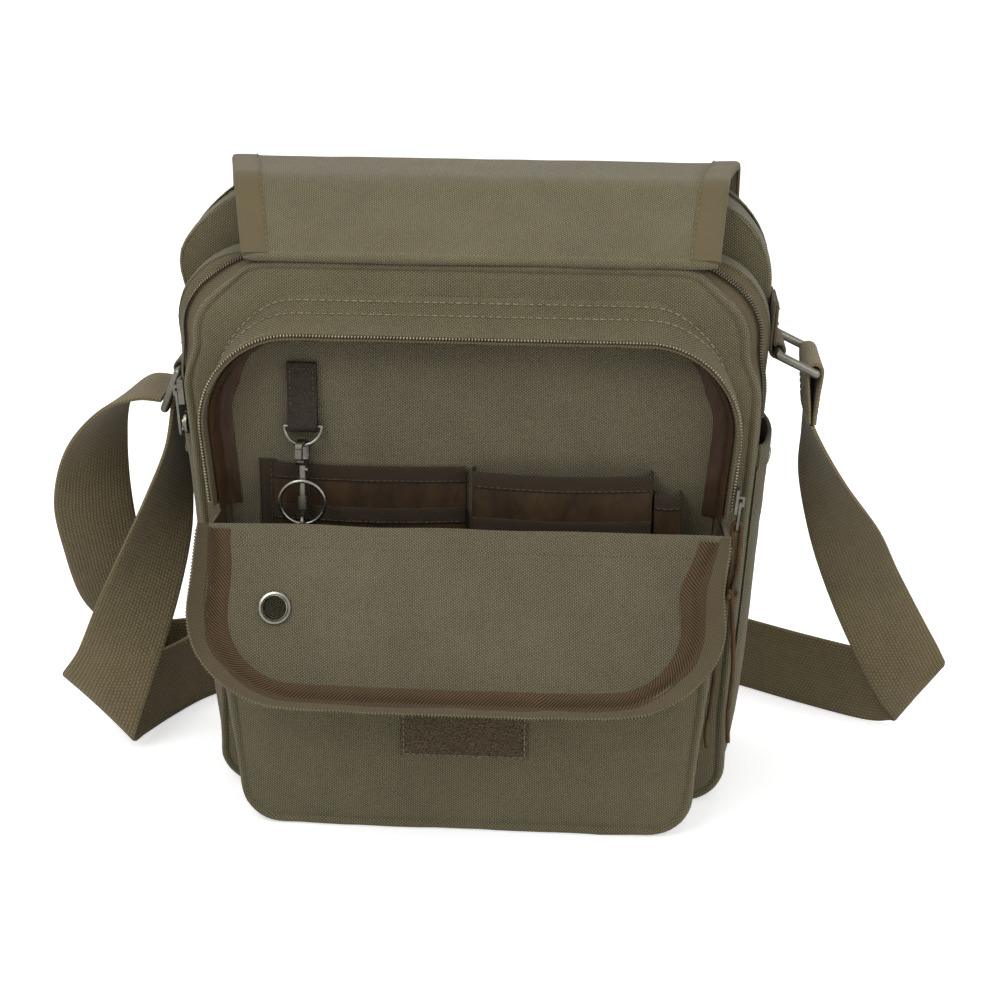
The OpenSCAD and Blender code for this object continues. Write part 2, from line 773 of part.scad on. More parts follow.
// Half width of the flap after a length from the front seam
function flap_half(s) = flap_seam_hw + (flap_hw - flap_seam_hw) * min(s / (front_len + top_len), 1);

// Moves children from the flap's flat plan to one stretch of it
module on_front() {
  translate([0, hinge_y, hinge_z]) rotate([front_rise, 0, 0]) children();
}
module on_top() {
  translate([0, fold_front_y, flap_z]) children();
}
module on_tail() {
  translate([0, fold_back_y, flap_z]) rotate([-90, 0, 0]) children();
}
// Stretch of the flap between two lengths, with its plan along +Y
module flap_stretch(s0, l0, l1) {
  w0 = flap_half(s0 + l0);
  w1 = flap_half(s0 + l1);
  translate([0, 0, -flap_t / 2])
    linear_extrude(flap_t) polygon([[-w0, l0], [w0, l0], [w1, l1], [-w1, l1]]);
}
module flap_side_edges(s0, l0, l1) {
  w0 = flap_half(s0 + l0);
  w1 = flap_half(s0 + l1);
  translate([0, 0, flap_t / 2])
    linear_extrude(edge_t)
      for (s = [-1, 1])
        polygon([[s * w0, l0], [s * w1, l1], [s * (w1 - edge_w), l1], [s * (w0 - edge_w), l0]]);
}
module flap_front() {
  color(olive_light) on_front() flap_stretch(0, seam_cut, front_len - soft_cut);
}
module flap_front_edges() {
  color(olive_light) on_front() flap_side_edges(0, 4, front_len - soft_cut - 0.4);
}
module flap_top() {
  color(olive_light) on_top() flap_stretch(front_len, soft_cut, top_len - hard_cut);
}
module flap_top_edges() {
  color(olive_light) on_top() flap_side_edges(front_len, soft_cut + 0.4, top_len - hard_cut);
}
tail_s = front_len + top_len;
module flap_tail() {
  color(olive_light) on_tail() flap_stretch(tail_s, hard_cut, tail_l);
}
module flap_tail_edges() {
  color(olive_light)
    on_tail() {
      flap_side_edges(tail_s, hard_cut, tail_l);
      translate([-flap_hw + edge_w, tail_l - edge_w, flap_t / 2])
        cube([2 * (flap_hw - edge_w), edge_w, edge_t]);
    }
}
module hook_strip() {
  color(brown)
    on_tail()
      translate([-strip_w / 2, tail_l - edge_w - strip_h - 2, flap_t / 2])
        cube([strip_w, strip_h, strip_t]);
}

// ---- Pocket door: modelled shut, then let down about the fold ----
module open_door() {
  translate([0, pocket_y, fold_z])
    rotate([door_open, 0, 0])
      translate([0, -pocket_y, -fold_z])
        above(fold_z + gap) children();
}
door_tape_y = pocket_split_y - gap / 2 - pocket_half_tape;
module door_panel() {
  color(olive)
    open_door()
      difference() {
        plate(pocket_outline(0), pocket_y, pocket_y + canvas_t);
        translate([-grommet_x, pocket_y + 5, fold_z + grommet_up])
          rotate([90, 0, 0]) cylinder(r = grommet_r + 0.5, h = 10);
      }
}
module door_rim() {
  color(olive) open_door() pocket_wall(0, canvas_t, pocket_y + canvas_t, door_tape_y);
}
module door_binding() {
  inner = canvas_t + seam_gap;
  color(brown)
    open_door()
      pocket_wall(inner, inner + 2.4, pocket_y + canvas_t, pocket_y + canvas_t + 8);
}
module door_zip() {
  y = pocket_split_y - gap / 2;
  color(olive)
    open_door() pocket_wall(0.4, 0.4 + tape_t, door_tape_y + seam_gap, y);
  color(steel)
    open_door() above(fold_z + 4) pocket_wall(-coil_rise, 0.4, y - coil_w / 2, y);
}
// The grommet's barrel passes the canvas, its rim lies inside the door
module grommet() {
  rim_t = 0.7;
  color(steel)
    open_door()
      translate([-grommet_x, pocket_y + canvas_t + rim_t, fold_z + grommet_up])
        rotate([90, 0, 0])
          difference() {
            union() {
              cylinder(r = grommet_rim_r, h = rim_t);
              cylinder(r = grommet_r + 0.4, h = rim_t + canvas_t);
            }
            translate([0, 0, -1]) cylinder(r = grommet_r, h = rim_t + canvas_t + 2);
          }
}
module grommet_washer() {
  color(steel)
    open_door()
      translate([-grommet_x, pocket_y, fold_z + grommet_up])
        rotate([90, 0, 0])
          difference() {
            cylinder(r = grommet_rim_r, h = 0.7);
            translate([0, 0, -1]) cylinder(r = grommet_r, h = 3);
          }
}

// ---- Sliders and pulls ----
side_lean = atan2((top_w - bottom_w) / 2, main_h);
pocket_lean = atan2((pocket_top_w - pocket_bottom_w) / 2, pocket_h);
slide_z0 = zip_end_z + 3;
main_slide_z0 = zip_end_z + 6;
// Slider over a coil: X away from the bag, Z along the coil. Its front side can be open,
// where the door's half of an opened zip swings in.
slider_wall = 1.2;
module slider(cover_w, front_room = 0) {
  lift = coil_rise + gap;
  side = cover_w / 2 + gap;
  difference() {
    translate([gap, -side - slider_wall, 0])
      cube([lift + slider_wall - gap, 2 * (side + slider_wall), slider_l]);
    translate([-1, -side - front_room, -1]) cube([lift + 1, 2 * side + front_room, slider_l + 2]);
  }
  for (z = [slider_l / 2 - 2.3, slider_l / 2 + 1.1])
    translate([lift + slider_wall - 0.1, -bridge_w / 2, z]) cube([bridge_room + 1.1, bridge_w, 1.2]);
  translate([lift + slider_wall + bridge_room, -bridge_w / 2, slider_l / 2 - 2.3])
    cube([1, bridge_w, 4.6]);
}
bridge_w = 2.2;
bridge_room = 1.8;
pull_x = coil_rise + gap + slider_wall + bridge_room / 2;
// Pull hanging in the slider's bridge: its top bar turns about its own middle, along Y
pull_t = 1;
pull_half_w = 3.5;
module metal_pull(l) {
  difference() {
    union() {
      translate([-pull_t / 2, -pull_half_w, -l]) cube([pull_t, 2 * pull_half_w, l + pull_t / 2]);
      translate([-pull_t / 2, 0, -l]) rotate([0, 90, 0]) cylinder(r = pull_half_w, h = pull_t);
    }
    translate([-2, -bridge_w / 2 - 0.5, -4]) cube([4, bridge_w + 1, 4 - pull_t / 2]);
    translate([-2, 0, -l]) rotate([0, 90, 0]) cylinder(r = 1.7, h = 4);
  }
}
// Frame on the bag's left side, with X away from the bag and Z up the side
module on_left_side(y, z) {
  mirror([1, 0, 0])
    translate([side_x(z), y, z])
      rotate([0, side_lean, 0]) children();
}
module front_slider() {
  color(steel) on_left_side(front_zip_y, slide_z0) slider(coil_w);
}
module front_pull() {
  color(steel)
    on_left_side(front_zip_y, slide_z0)
      translate([pull_x, 0, slider_l / 2]) metal_pull(pull_l - pull_half_w);
}
module main_slider() {
  color(steel) on_left_side(main_zip_y, main_slide_z0) slider(coil_w);
}
module main_pull() {
  color(steel)
    on_left_side(main_zip_y, main_slide_z0)
      translate([pull_x, 0, slider_l / 2]) metal_pull(pull_l - pull_half_w);
}
pocket_slide_z = fold_z + 5;
module on_pocket_side() {
  translate([pocket_x(pocket_slide_z), pocket_split_y + gap / 2 + coil_w / 4, pocket_slide_z])
    rotate([0, pocket_lean, 0]) children();
}
module pocket_slider() {
  color(steel) on_pocket_side() slider(coil_w / 2, 2);
}
module pocket_pull() {
  color(steel)
    on_pocket_side()
      translate([pull_x, 0, slider_l / 2]) metal_pull(pocket_pull_l - pull_half_w);
}
// Leather lace: up behind the pull, through its hole and down in front, knotted below
lace_r = 0.75;
// The route is laid for a zip split at this depth, and moves with it
lace_split_y = -40.3;
lace_route = [
  [105.6, -46, 47], [107, -46, 62], [109.5, -44, 90], [112.4, -41.5, 112], [113.5, -40, 126],
  [113.5, -39.2, 134], [113.35, -38.9, 140], [113.7, -38.9, 142.4], [115.1, -38.9, 143.2],
  [116.6, -38.9, 142.4], [117, -38.9, 139], [116.8, -39.4, 132], [115.8, -41, 122],
  [114.2, -42.6, 112], [115.2, -42, 98], [115.6, -41, 76], [114.6, -41, 47]
];
module lace(points) {
  n = len(points);
  sides = 8;
  rings = [for (i = [0 : n - 1])
             let (along = unit(points[min(i + 1, n - 1)] - points[max(i - 1, 0)]),
                  u = [0, 1, 0] - along * along[1], v = cross(along, unit(u)))
             for (k = [0 : sides - 1])
               points[i] + (unit(u) * cos(k * 360 / sides) + v * sin(k * 360 / sides)) * lace_r];
  walls = [for (i = [0 : n - 2], k = [0 : sides - 1])
             let (a = sides * i + k, b = sides * i + (k + 1) % sides)
             each [[a, b + sides, b], [a, a + sides, b + sides]]];
  caps = [[for (k = [0 : sides - 1]) k], [for (k = [0 : sides - 1]) sides * n - 1 - k]];
  polyhedron(rings, concat(walls, caps));
}
module lace_pull() {
  color(dark_leather)
    translate([0, pocket_split_y - lace_split_y, 0]) lace(lace_route);
}

back_panel();
main_gusset();
divider_panel();
front_gusset();
front_panel();
main_lining();
front_lining();
main_zip();
front_zip();
pocket_gusset();
pocket_lower_panel();
pocket_piping();
pocket_lining();
pocket_zip();
organiser_panel();
card_slots_left();
card_slots_right();
phone_pocket();
pen_pocket();
slot_bindings();
loop_strip();
key_tab();
side_pocket_right();
side_pocket_left();
ring_tab_right();
ring_tab_left();
side_snap();
strap_long();
strap_short();
flap_front();
flap_top();
flap_tail();
flap_front_edges();
flap_top_edges();
flap_tail_edges();
hook_strip();
door_panel();
door_rim();
door_binding();
door_zip();
grommet();
grommet_washer();
main_slider();
main_pull();
front_slider();
front_pull();
pocket_slider();
pocket_pull();
lace_pull();
key_dring();
snap_hook();
hook_gate();
swivel_eye();
key_ring();
ring_right();
strap_loop_right();
ring_left();
strap_turn_left();
strap_adjuster();
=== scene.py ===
"""Canvas messenger bag: cloth shells, zips, organiser, strap, hardware and stage."""
import math

import bpy
import numpy as np
from mathutils import Matrix, Vector, noise


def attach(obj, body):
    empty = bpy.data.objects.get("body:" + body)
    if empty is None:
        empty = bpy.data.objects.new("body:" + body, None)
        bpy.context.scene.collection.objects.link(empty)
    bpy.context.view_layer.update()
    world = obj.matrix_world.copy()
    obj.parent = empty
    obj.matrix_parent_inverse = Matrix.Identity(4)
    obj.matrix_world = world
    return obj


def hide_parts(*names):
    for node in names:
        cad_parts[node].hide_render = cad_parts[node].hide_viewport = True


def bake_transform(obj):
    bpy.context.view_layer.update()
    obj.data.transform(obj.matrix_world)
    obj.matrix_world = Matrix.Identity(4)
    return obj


bl_info = {
    "name": "Canvas messenger bag",
    "version": (1, 0, 0),
    "blender": (4, 5, 0),
    "location": "View3D > Sidebar > Bag",
    "description": "Builds a canvas messenger bag with an organiser pocket",
    "category": "Object",
}

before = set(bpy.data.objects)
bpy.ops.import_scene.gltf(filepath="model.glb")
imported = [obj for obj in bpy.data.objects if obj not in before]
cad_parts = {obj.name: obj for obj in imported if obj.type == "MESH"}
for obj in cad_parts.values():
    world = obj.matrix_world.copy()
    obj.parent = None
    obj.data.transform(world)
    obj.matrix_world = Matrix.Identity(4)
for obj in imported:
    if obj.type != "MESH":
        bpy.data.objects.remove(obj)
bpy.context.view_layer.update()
MM = 0.001

# ---------------------------------------------------------------- sizes in millimetres
BODY_H = 275.0
FRONT_H = 250.0
FRONT_Y, MID_Y, BACK_Y = -22.0, 12.0, 57.0
POCKET_Y = -57.0
CANVAS = 1.8
ZIP_END = 180.0
FRONT_ZIP_Y, MAIN_ZIP_Y = -12.8, 44.0
FOLD_Z = 143.0
DOOR_OPEN = math.radians(155)
SPLIT_Y = -40.3
TAPE_Y = -30.45
DOOR_TAPE_Y = -50.15
FRONT = dict(w0=230.0, w1=230.0 + 32.0 * FRONT_H / BODY_H, h=FRONT_H, rb=18.0, rt=32.0)
MAIN = dict(w0=230.0, w1=262.0, h=BODY_H, rb=18.0, rt=42.0)
POCKET = dict(w0=198.0, w1=236.0, h=221.0, rb=20.0, rt=40.0)
BAG_MIDDLE = (0.0, 10.0, 130.0)
RING_Y, RIGHT_RING_Z, LEFT_RING_Z = 15.5, 208.0, 194.0
RING_OUT, RING_RISE, RING_WIRE = 4.5, 18.0, 1.9
# Lowest point of cloth that stands on the floor
LOWEST = 0.02
# Distance in metres below which points are merged, and the angle in degrees below which faces are smooth
MERGE = 0.00005
SMOOTH = 40
# How much further apart the coil turns of an open zip stand
OPEN_PITCH = 1.12
# Steps of an outline: half of the bottom, a bottom corner, a side, a top corner, the top
STEPS = (12, 10, 44, 14, 36)


def side_x(z):
    """Half width of the compartments at a height."""
    return 115.0 + 16.0 * z / BODY_H


def pocket_x(z):
    """Half width of the organiser pocket at a height."""
    return 99.0 + 19.0 * z / 221.0


# ---------------------------------------------------------------- outlines
def turned(v, a):
    return np.array([v[0] * math.cos(a) - v[1] * math.sin(a), v[0] * math.sin(a) + v[1] * math.cos(a)])


def left(v):
    return np.array([-v[1], v[0]])


def unit(v):
    return v / (np.linalg.norm(v) + 1e-12)


def outline(shape, inset):
    """Points and outward normals of a rounded trapezoid, from the bottom middle anticlockwise."""
    low, high, height = shape["w0"] / 2, shape["w1"] / 2, shape["h"]
    corners = [np.array(p) for p in ((-low, 0), (low, 0), (high, height), (-high, height))]
    moved = []
    for i in range(4):
        a = unit(corners[i] - corners[i - 1])
        b = unit(corners[(i + 1) % 4] - corners[i])
        moved.append(corners[i] + (left(a) + left(b)) * inset / (1 + a @ b))
    arcs = []
    for i, r0 in enumerate((shape["rb"], shape["rb"], shape["rt"], shape["rt"])):
        r = max(r0 - inset, 0.5)
        a = unit(moved[i] - moved[i - 1])
        b = unit(moved[(i + 1) % 4] - moved[i])
        bend = math.acos(max(-1, min(1, a @ b)))
        centre = moved[i] + (left(a) + left(b)) * r / (1 + a @ b)
        n = STEPS[1] if i < 2 else STEPS[3]
        turns = [bend * k / n for k in range(n + 1)]
        arcs.append([(centre + turned(-left(a) * r, t), turned(-left(a), t)) for t in turns])
    half, _, side, _, top = STEPS
    middle = (arcs[0][-1][0] + arcs[1][0][0]) / 2
    down = np.array([0.0, -1.0])
    pts, nor = [], []

    def run(p, q, n, d0, d1):
        for k in range(n):
            pts.append(p + (q - p) * k / n)
            nor.append(unit(d0 + (d1 - d0) * k / n))

    def arc(a):
        for p, d in a[:-1]:
            pts.append(p)
            nor.append(d)

    run(middle, arcs[1][0][0], half, down, arcs[1][0][1])
    arc(arcs[1])
    run(arcs[1][-1][0], arcs[2][0][0], side, arcs[1][-1][1], arcs[2][0][1])
    arc(arcs[2])
    run(arcs[2][-1][0], arcs[3][0][0], top, arcs[2][-1][1], arcs[3][0][1])
    arc(arcs[3])
    run(arcs[3][-1][0], arcs[0][0][0], side, arcs[3][-1][1], arcs[0][0][1])
    arc(arcs[0])
    run(arcs[0][-1][0], middle, half, arcs[0][-1][1], down)
    pts.append(pts[0])
    nor.append(nor[0])
    return np.array(pts), np.array(nor)


def loft(shape, levels):
    """Rows of points in millimetres: each level is an inset and a depth."""
    rows = []
    for inset, y in levels:
        p, _ = outline(shape, inset)
        rows.append(np.stack([p[:, 0], np.full(len(p), y), p[:, 1]], 1))
    return np.array(rows)


# ---------------------------------------------------------------- mesh helpers
def clear_selection():
    if bpy.context.object and bpy.context.object.mode != "OBJECT":
        bpy.ops.object.mode_set(mode="OBJECT")
    bpy.ops.object.select_all(action="DESELECT")


def only(o):
    clear_selection()
    o.select_set(True)
    bpy.context.view_layer.objects.active = o


def named(o, name):
    o.name = name
    o.data.name = name
    return o


def set_points(o, points):
    o.data.vertices.foreach_set("co", np.asarray(points, np.float32).ravel())
    o.data.update()


def get_points(o):
    co = np.empty(len(o.data.vertices) * 3, np.float32)
    o.data.vertices.foreach_get("co", co)
    return co.reshape(-1, 3).astype(float)


def apply_all(o):
    only(o)
    for m in list(o.modifiers):
        bpy.ops.object.modifier_apply(modifier=m.name)


def soft_noise(p, size, seed=0.0):
    """Smooth noise from -1 to 1 at points in millimetres."""
    q = np.asarray(p, float) / size + seed
    flat = q.reshape(-1, 3)
    v = np.array([noise.noise(Vector(c)) for c in flat])
    return v.reshape(q.shape[:-1])


def grid_normals(P):
    du = np.gradient(P, axis=1)
    dv = np.gradient(P, axis=0)
    n = np.cross(du, dv)
    return n / (np.linalg.norm(n, axis=2, keepdims=True) + 1e-9)


def arc_uv(P):
    """Lengths along the columns and rows of a grid, in metres."""
    du = np.linalg.norm(np.diff(P, axis=1), axis=2)
    dv = np.linalg.norm(np.diff(P, axis=0), axis=2)
    u = np.concatenate([np.zeros((P.shape[0], 1)), np.cumsum(du, 1)], 1)
    v = np.concatenate([np.zeros((1, P.shape[1])), np.cumsum(dv, 0)], 0)
    mid = P.shape[0] // 2
    u = np.broadcast_to(u[mid], u.shape)
    return np.stack([u, v], 2) * MM


def cloth(name, P, thick, away=BAG_MIDDLE, uv=None, wrap=False, drop=None, bevel=0.0, smooth=SMOOTH):
    """Sheet of cloth from a grid of points in millimetres, its faces turned from the point away, its wall inwards.
    Wrap merges the grid's seams. Drop says which faces are left out, by their height and their row."""
    rows, cols = P.shape[:2]
    uv = arc_uv(P) if uv is None else uv
    P = np.array(P)
    P[..., 2] = np.maximum(P[..., 2], LOWEST)
    clear_selection()
    bpy.ops.mesh.primitive_grid_add(x_subdivisions=cols - 1, y_subdivisions=rows - 1, size=2)
    o = named(bpy.context.object, name)
    co = get_points(o)
    i = np.rint((co[:, 0] + 1) / 2 * (cols - 1)).astype(int)
    j = np.rint((co[:, 1] + 1) / 2 * (rows - 1)).astype(int)
    set_points(o, P[j, i] * MM)
    loops = np.empty(len(o.data.loops), np.int32)
    o.data.loops.foreach_get("vertex_index", loops)
    o.data.uv_layers[0].data.foreach_set("uv", uv[j[loops], i[loops]].astype(np.float32).ravel())
    n = np.array([f.normal for f in o.data.polygons])
    c = np.array([f.center for f in o.data.polygons])
    if ((c - np.array(away) * MM) * n).sum() < 0:
        o.data.flip_normals()
    if drop is not None:
        gone = drop(c[:, 2] / MM, j[loops].reshape(-1, 4).min(axis=1))
        only(o)
        bpy.ops.object.mode_set(mode="EDIT")
        bpy.ops.mesh.select_mode(type="FACE")
        bpy.ops.object.mode_set(mode="OBJECT")
        o.data.polygons.foreach_set("select", gone)
        bpy.ops.object.mode_set(mode="EDIT")
        bpy.ops.mesh.delete(type="FACE")
        bpy.ops.object.mode_set(mode="OBJECT")
    if wrap:
        only(o)
        bpy.ops.object.mode_set(mode="EDIT")
        bpy.ops.mesh.select_all(action="SELECT")
        bpy.ops.mesh.remove_doubles(threshold=MERGE)
        bpy.ops.object.mode_set(mode="OBJECT")
    if thick:
        m = o.modifiers.new("wall", "SOLIDIFY")
        m.thickness = thick * MM
        m.offset = -1
        m.use_even_offset = False
    if bevel:
        m = o.modifiers.new("edge", "BEVEL")
        m.width = bevel * MM
        m.segments = 2
        m.limit_method = "ANGLE"
        m.angle_limit = math.radians(50)
    apply_all(o)
    co = get_points(o)
    co[:, 2] = np.maximum(co[:, 2], LOWEST * MM)
    set_points(o, co)
    only(o)
    bpy.ops.object.shade_smooth_by_angle(angle=math.radians(smooth))
    return o


def copies(name, template, places):
    """One mesh from many placed copies of a small template. Places are 4 by 4 arrays in millimetres."""
    v, faces = template
    V = np.concatenate([v, np.ones((len(v), 1))], 1)
    allv = np.concatenate([(V @ np.asarray(m).T)[:, :3] for m in places]) * MM
    n = len(v)
    allf = []
    for k in range(len(places)):
        allf += [[a + k * n for a in f] for f in faces]
    me = bpy.data.meshes.new(name)
    me.from_pydata(allv.tolist(), [], allf)
    me.update()
    o = bpy.data.objects.new(name, me)
    bpy.context.scene.collection.objects.link(o)
    me.shade_smooth()
    return o


def template_of(make):
    """Vertices and faces of a small primitive that a function has shaped, in millimetres."""
    clear_selection()
    make()
    o = bpy.context.object
    apply_all(o)
    only(o)
    bpy.ops.object.transform_apply(location=True, rotation=True, scale=True)
    v = get_points(o)
    f = [list(p.vertices) for p in o.data.polygons]
    bpy.data.objects.remove(o)
    return v, f


def bead_template(length, width, height):
    """Rounded bar along X, about its own middle."""

    def make():
        bpy.ops.mesh.primitive_uv_sphere_add(segments=6, ring_count=5, radius=0.5, rotation=(0, math.pi / 2, 0))
        o = bpy.context.object
        bpy.ops.object.transform_apply(location=False, rotation=True, scale=True)
        co = get_points(o)
        co = np.sign(co) * np.abs(co * 2) ** 0.75 / 2
        set_points(o, co * np.array([length, width, height]))

    return template_of(make)


def place(origin, x, z):
    """Placement with X along x and Z near z."""
    x = unit(np.asarray(x, float))
    y = unit(np.cross(z, x))
    m = np.eye(4)
    m[:3, 0], m[:3, 1], m[:3, 2], m[:3, 3] = x, y, np.cross(x, y), origin
    return m


def resample(points, step):
    """Even points along a line, with the direction at each."""
    p = np.asarray(points, float)
    d = np.linalg.norm(np.diff(p, axis=0), axis=1)
    s = np.concatenate([[0], np.cumsum(d)])
    n = max(int(round(s[-1] / step)), 1)
    at = (np.arange(n) + 0.5) * s[-1] / n

    def on_line(t):
        return np.stack([np.interp(t, s, column) for column in p.T], 1)

    return on_line(at), on_line(at + 0.3) - on_line(at - 0.3)


STITCH = {}


def stitch_row(group, points, normal, pitch=3.4, lift=0.12):
    """Adds a row of stitches along a line, to the thread of a group."""
    nor = np.asarray(normal, float)
    if nor.ndim == 2:
        q, e = resample(np.concatenate([points, nor], 1), pitch)
        nor, q, e = q[:, 3:], q[:, :3], e[:, :3]
    else:
        q, e = resample(points, pitch)
        nor = np.broadcast_to(nor, q.shape)
    for p, d, n in zip(q, e, nor):
        if np.linalg.norm(d) > 1e-6:
            STITCH.setdefault(group, []).append(place(p + unit(n) * lift, d, n))


def sew(group, body, slot="canvas", finish="thread"):
    """Makes the thread piece of a group."""
    o = copies(group, bead_template(2.6, 0.75, 0.62), STITCH[group])
    finish_piece(o, finish, body, slot)
    return o


def finish_piece(o, material, body, slot, *nodes):
    """Gives a piece its material and its body and hides the CAD nodes that it stands for; the slot is not used."""
    o.data.materials.clear()
    o.data.materials.append(MATERIALS[material])
    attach(o, body)
    if nodes:
        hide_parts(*nodes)
    return o

def finish_blend(o, material, bodies, a, b, slot, *nodes):
    """Gives a piece its material, bakes its transform and hides the CAD nodes that it stands for; the bodies, the
    points a and b and the slot are not used.
    """
    o.data.materials.clear()
    o.data.materials.append(MATERIALS[material])
    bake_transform(o)
    if nodes:
        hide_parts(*nodes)
    return o


# ---------------------------------------------------------------- material helpers
MATERIALS = {}


class Net:
    """Adds nodes to a tree and joins them."""

    def __init__(self, tree):
        self.tree = tree

    def node(self, kind, **values):
        n = self.tree.nodes.new(kind)
        for k, v in values.items():
            if k in n.inputs:
                self.feed(v, n.inputs[k])
            else:
                setattr(n, k, v)
        return n

    def feed(self, v, socket):
        if isinstance(v, bpy.types.NodeSocket):
            self.tree.links.new(v, socket)
        else:
            socket.default_value = v

    def math(self, op, a, b=None, c=None):
        n = self.tree.nodes.new("ShaderNodeMath")
        n.operation = op
        for k, v in enumerate((a, b, c)):
            if v is not None:
                self.feed(v, n.inputs[k])
        return n.outputs[0]

    def mix(self, fac, a, b):
        n = self.tree.nodes.new("ShaderNodeMix")
        n.data_type = "RGBA"
        self.feed(fac, n.inputs[0])
        self.feed(a, n.inputs[6])
        self.feed(b, n.inputs[7])
        return n.outputs[2]

    def noise(self, vector, scale, detail=3.0, rough=0.55):
        n = self.node("ShaderNodeTexNoise", Vector=vector, Scale=scale, Detail=detail, Roughness=rough)
        return n.outputs["Fac"]

    def spread(self, v, lo, hi, to0=0.0, to1=1.0):
        n = self.tree.nodes.new("ShaderNodeMapRange")
        self.feed(v, n.inputs[0])
        for k, x in enumerate((lo, hi, to0, to1)):
            n.inputs[k + 1].default_value = x
        return n.outputs[0]

    def shared(self, name, vector, **values):
        """Adds a shared group, fed by a vector."""
        n = self.tree.nodes.new("ShaderNodeGroup")
        n.node_tree = bpy.data.node_groups[name]
        self.feed(vector, n.inputs["Vector"])
        for k, v in values.items():
            n.inputs[k].default_value = v
        return n.outputs


def group(name, inputs, outputs, build):
    """Node group with named sockets, each a name, a kind and a default."""
    tree = bpy.data.node_groups.new(name, "ShaderNodeTree")
    for n, kind, value in inputs:
        s = tree.interface.new_socket(name=n, in_out="INPUT", socket_type=kind)
        if value is not None:
            s.default_value = value
    for n, kind in outputs:
        tree.interface.new_socket(name=n, in_out="OUTPUT", socket_type=kind)
    net = Net(tree)
    gin = tree.nodes.new("NodeGroupInput")
    gout = tree.nodes.new("NodeGroupOutput")
    for k, v in build(net, gin.outputs).items():
        tree.links.new(v, gout.inputs[k])
    return tree


FLOAT, VECTOR, COLOUR = "NodeSocketFloat", "NodeSocketVector", "NodeSocketColor"


def weave_group():
    """Plain weave: threads that pass over and under each other, with slubs."""

    def build(net, i):
        sep = net.node("ShaderNodeSeparateXYZ", Vector=i["Vector"])
        wob = net.noise(i["Vector"], 90.0, 2.0)
        wob = net.math("MULTIPLY", net.math("SUBTRACT", wob, 0.5), 0.9)
        u = net.math("ADD", net.math("DIVIDE", sep.outputs[0], i["Across"]), wob)
        v = net.math("ADD", net.math("DIVIDE", sep.outputs[1], i["Along"]), wob)
        su = net.math("ABSOLUTE", net.math("SINE", net.math("MULTIPLY", u, math.pi)))
        sv = net.math("ABSOLUTE", net.math("SINE", net.math("MULTIPLY", v, math.pi)))
        cell = net.math("ADD", net.math("FLOOR", u), net.math("FLOOR", v))
        over = net.math("MODULO", net.math("ABSOLUTE", cell), 2.0)
        warp = net.math("MULTIPLY", su, net.math("MULTIPLY_ADD", sv, 0.45, 0.55))
        weft = net.math("MULTIPLY", sv, net.math("MULTIPLY_ADD", su, 0.45, 0.55))
        flat = net.tree.nodes.new("ShaderNodeMix")
        net.feed(over, flat.inputs[0])
        net.feed(net.math("MULTIPLY", weft, i["Weft"]), flat.inputs[2])
        net.feed(warp, flat.inputs[3])
        h = flat.outputs[0]
        cellv = net.node("ShaderNodeCombineXYZ", X=net.math("FLOOR", u),
            Y=net.math("MULTIPLY", net.math("FLOOR", v), 0.12))
        slub = net.node("ShaderNodeTexWhiteNoise", Vector=cellv.outputs[0]).outputs["Value"]
        return {"Height": h, "Thread": over, "Slub": slub}

    return group(
        "Weave",
        [("Vector", VECTOR, None), ("Across", FLOAT, 0.001), ("Along", FLOAT, 0.001), ("Weft", FLOAT, 0.9)],
        [("Height", FLOAT), ("Thread", FLOAT), ("Slub", FLOAT)],
        build,
    )


def fade_group():
    """Uneven dye and wash marks over a few scales."""

    def build(net, i):
        a = net.noise(i["Vector"], 14.0, 4.0, 0.6)
        b = net.noise(i["Vector"], 70.0, 3.0, 0.6)
        c = net.noise(i["Vector"], 600.0, 2.0, 0.6)
        s = net.math("ADD", net.math("MULTIPLY", a, 0.5),
            net.math("ADD", net.math("MULTIPLY", b, 0.28), net.math("MULTIPLY", c, 0.22)))
        return {"Fade": net.spread(s, 0.34, 0.66)}

    return group("Uneven dye", [("Vector", VECTOR, None)], [("Fade", FLOAT)], build)


def shaded(name, rgb, build, rough=0.8, metal=0.0, sheen=0.0, spec=0.5):
    """Material whose colour, roughness and height come from a function."""
    m = bpy.data.materials.new(name)
    m.use_nodes = True
    m.diffuse_color = (*rgb, 1)
    tree = m.node_tree
    net = Net(tree)
    shader = tree.nodes["Principled BSDF"]
    shader.inputs["Metallic"].default_value = metal
    shader.inputs["Roughness"].default_value = rough
    shader.inputs["Sheen Weight"].default_value = sheen
    shader.inputs["Sheen Roughness"].default_value = 0.45
    shader.inputs["Specular IOR Level"].default_value = spec
    out = build(net)
    net.feed(out["colour"], shader.inputs["Base Color"])
    if "rough" in out:
        net.feed(out["rough"], shader.inputs["Roughness"])
    b = net.node("ShaderNodeBump", Height=out["height"], Distance=out["deep"], Strength=out.get("strength", 0.8))
    net.feed(b.outputs[0], shader.inputs["Normal"])
    MATERIALS[name] = m
    return m


def tone(rgb, k):
    return (rgb[0] * k, rgb[1] * k, rgb[2] * k, 1.0)


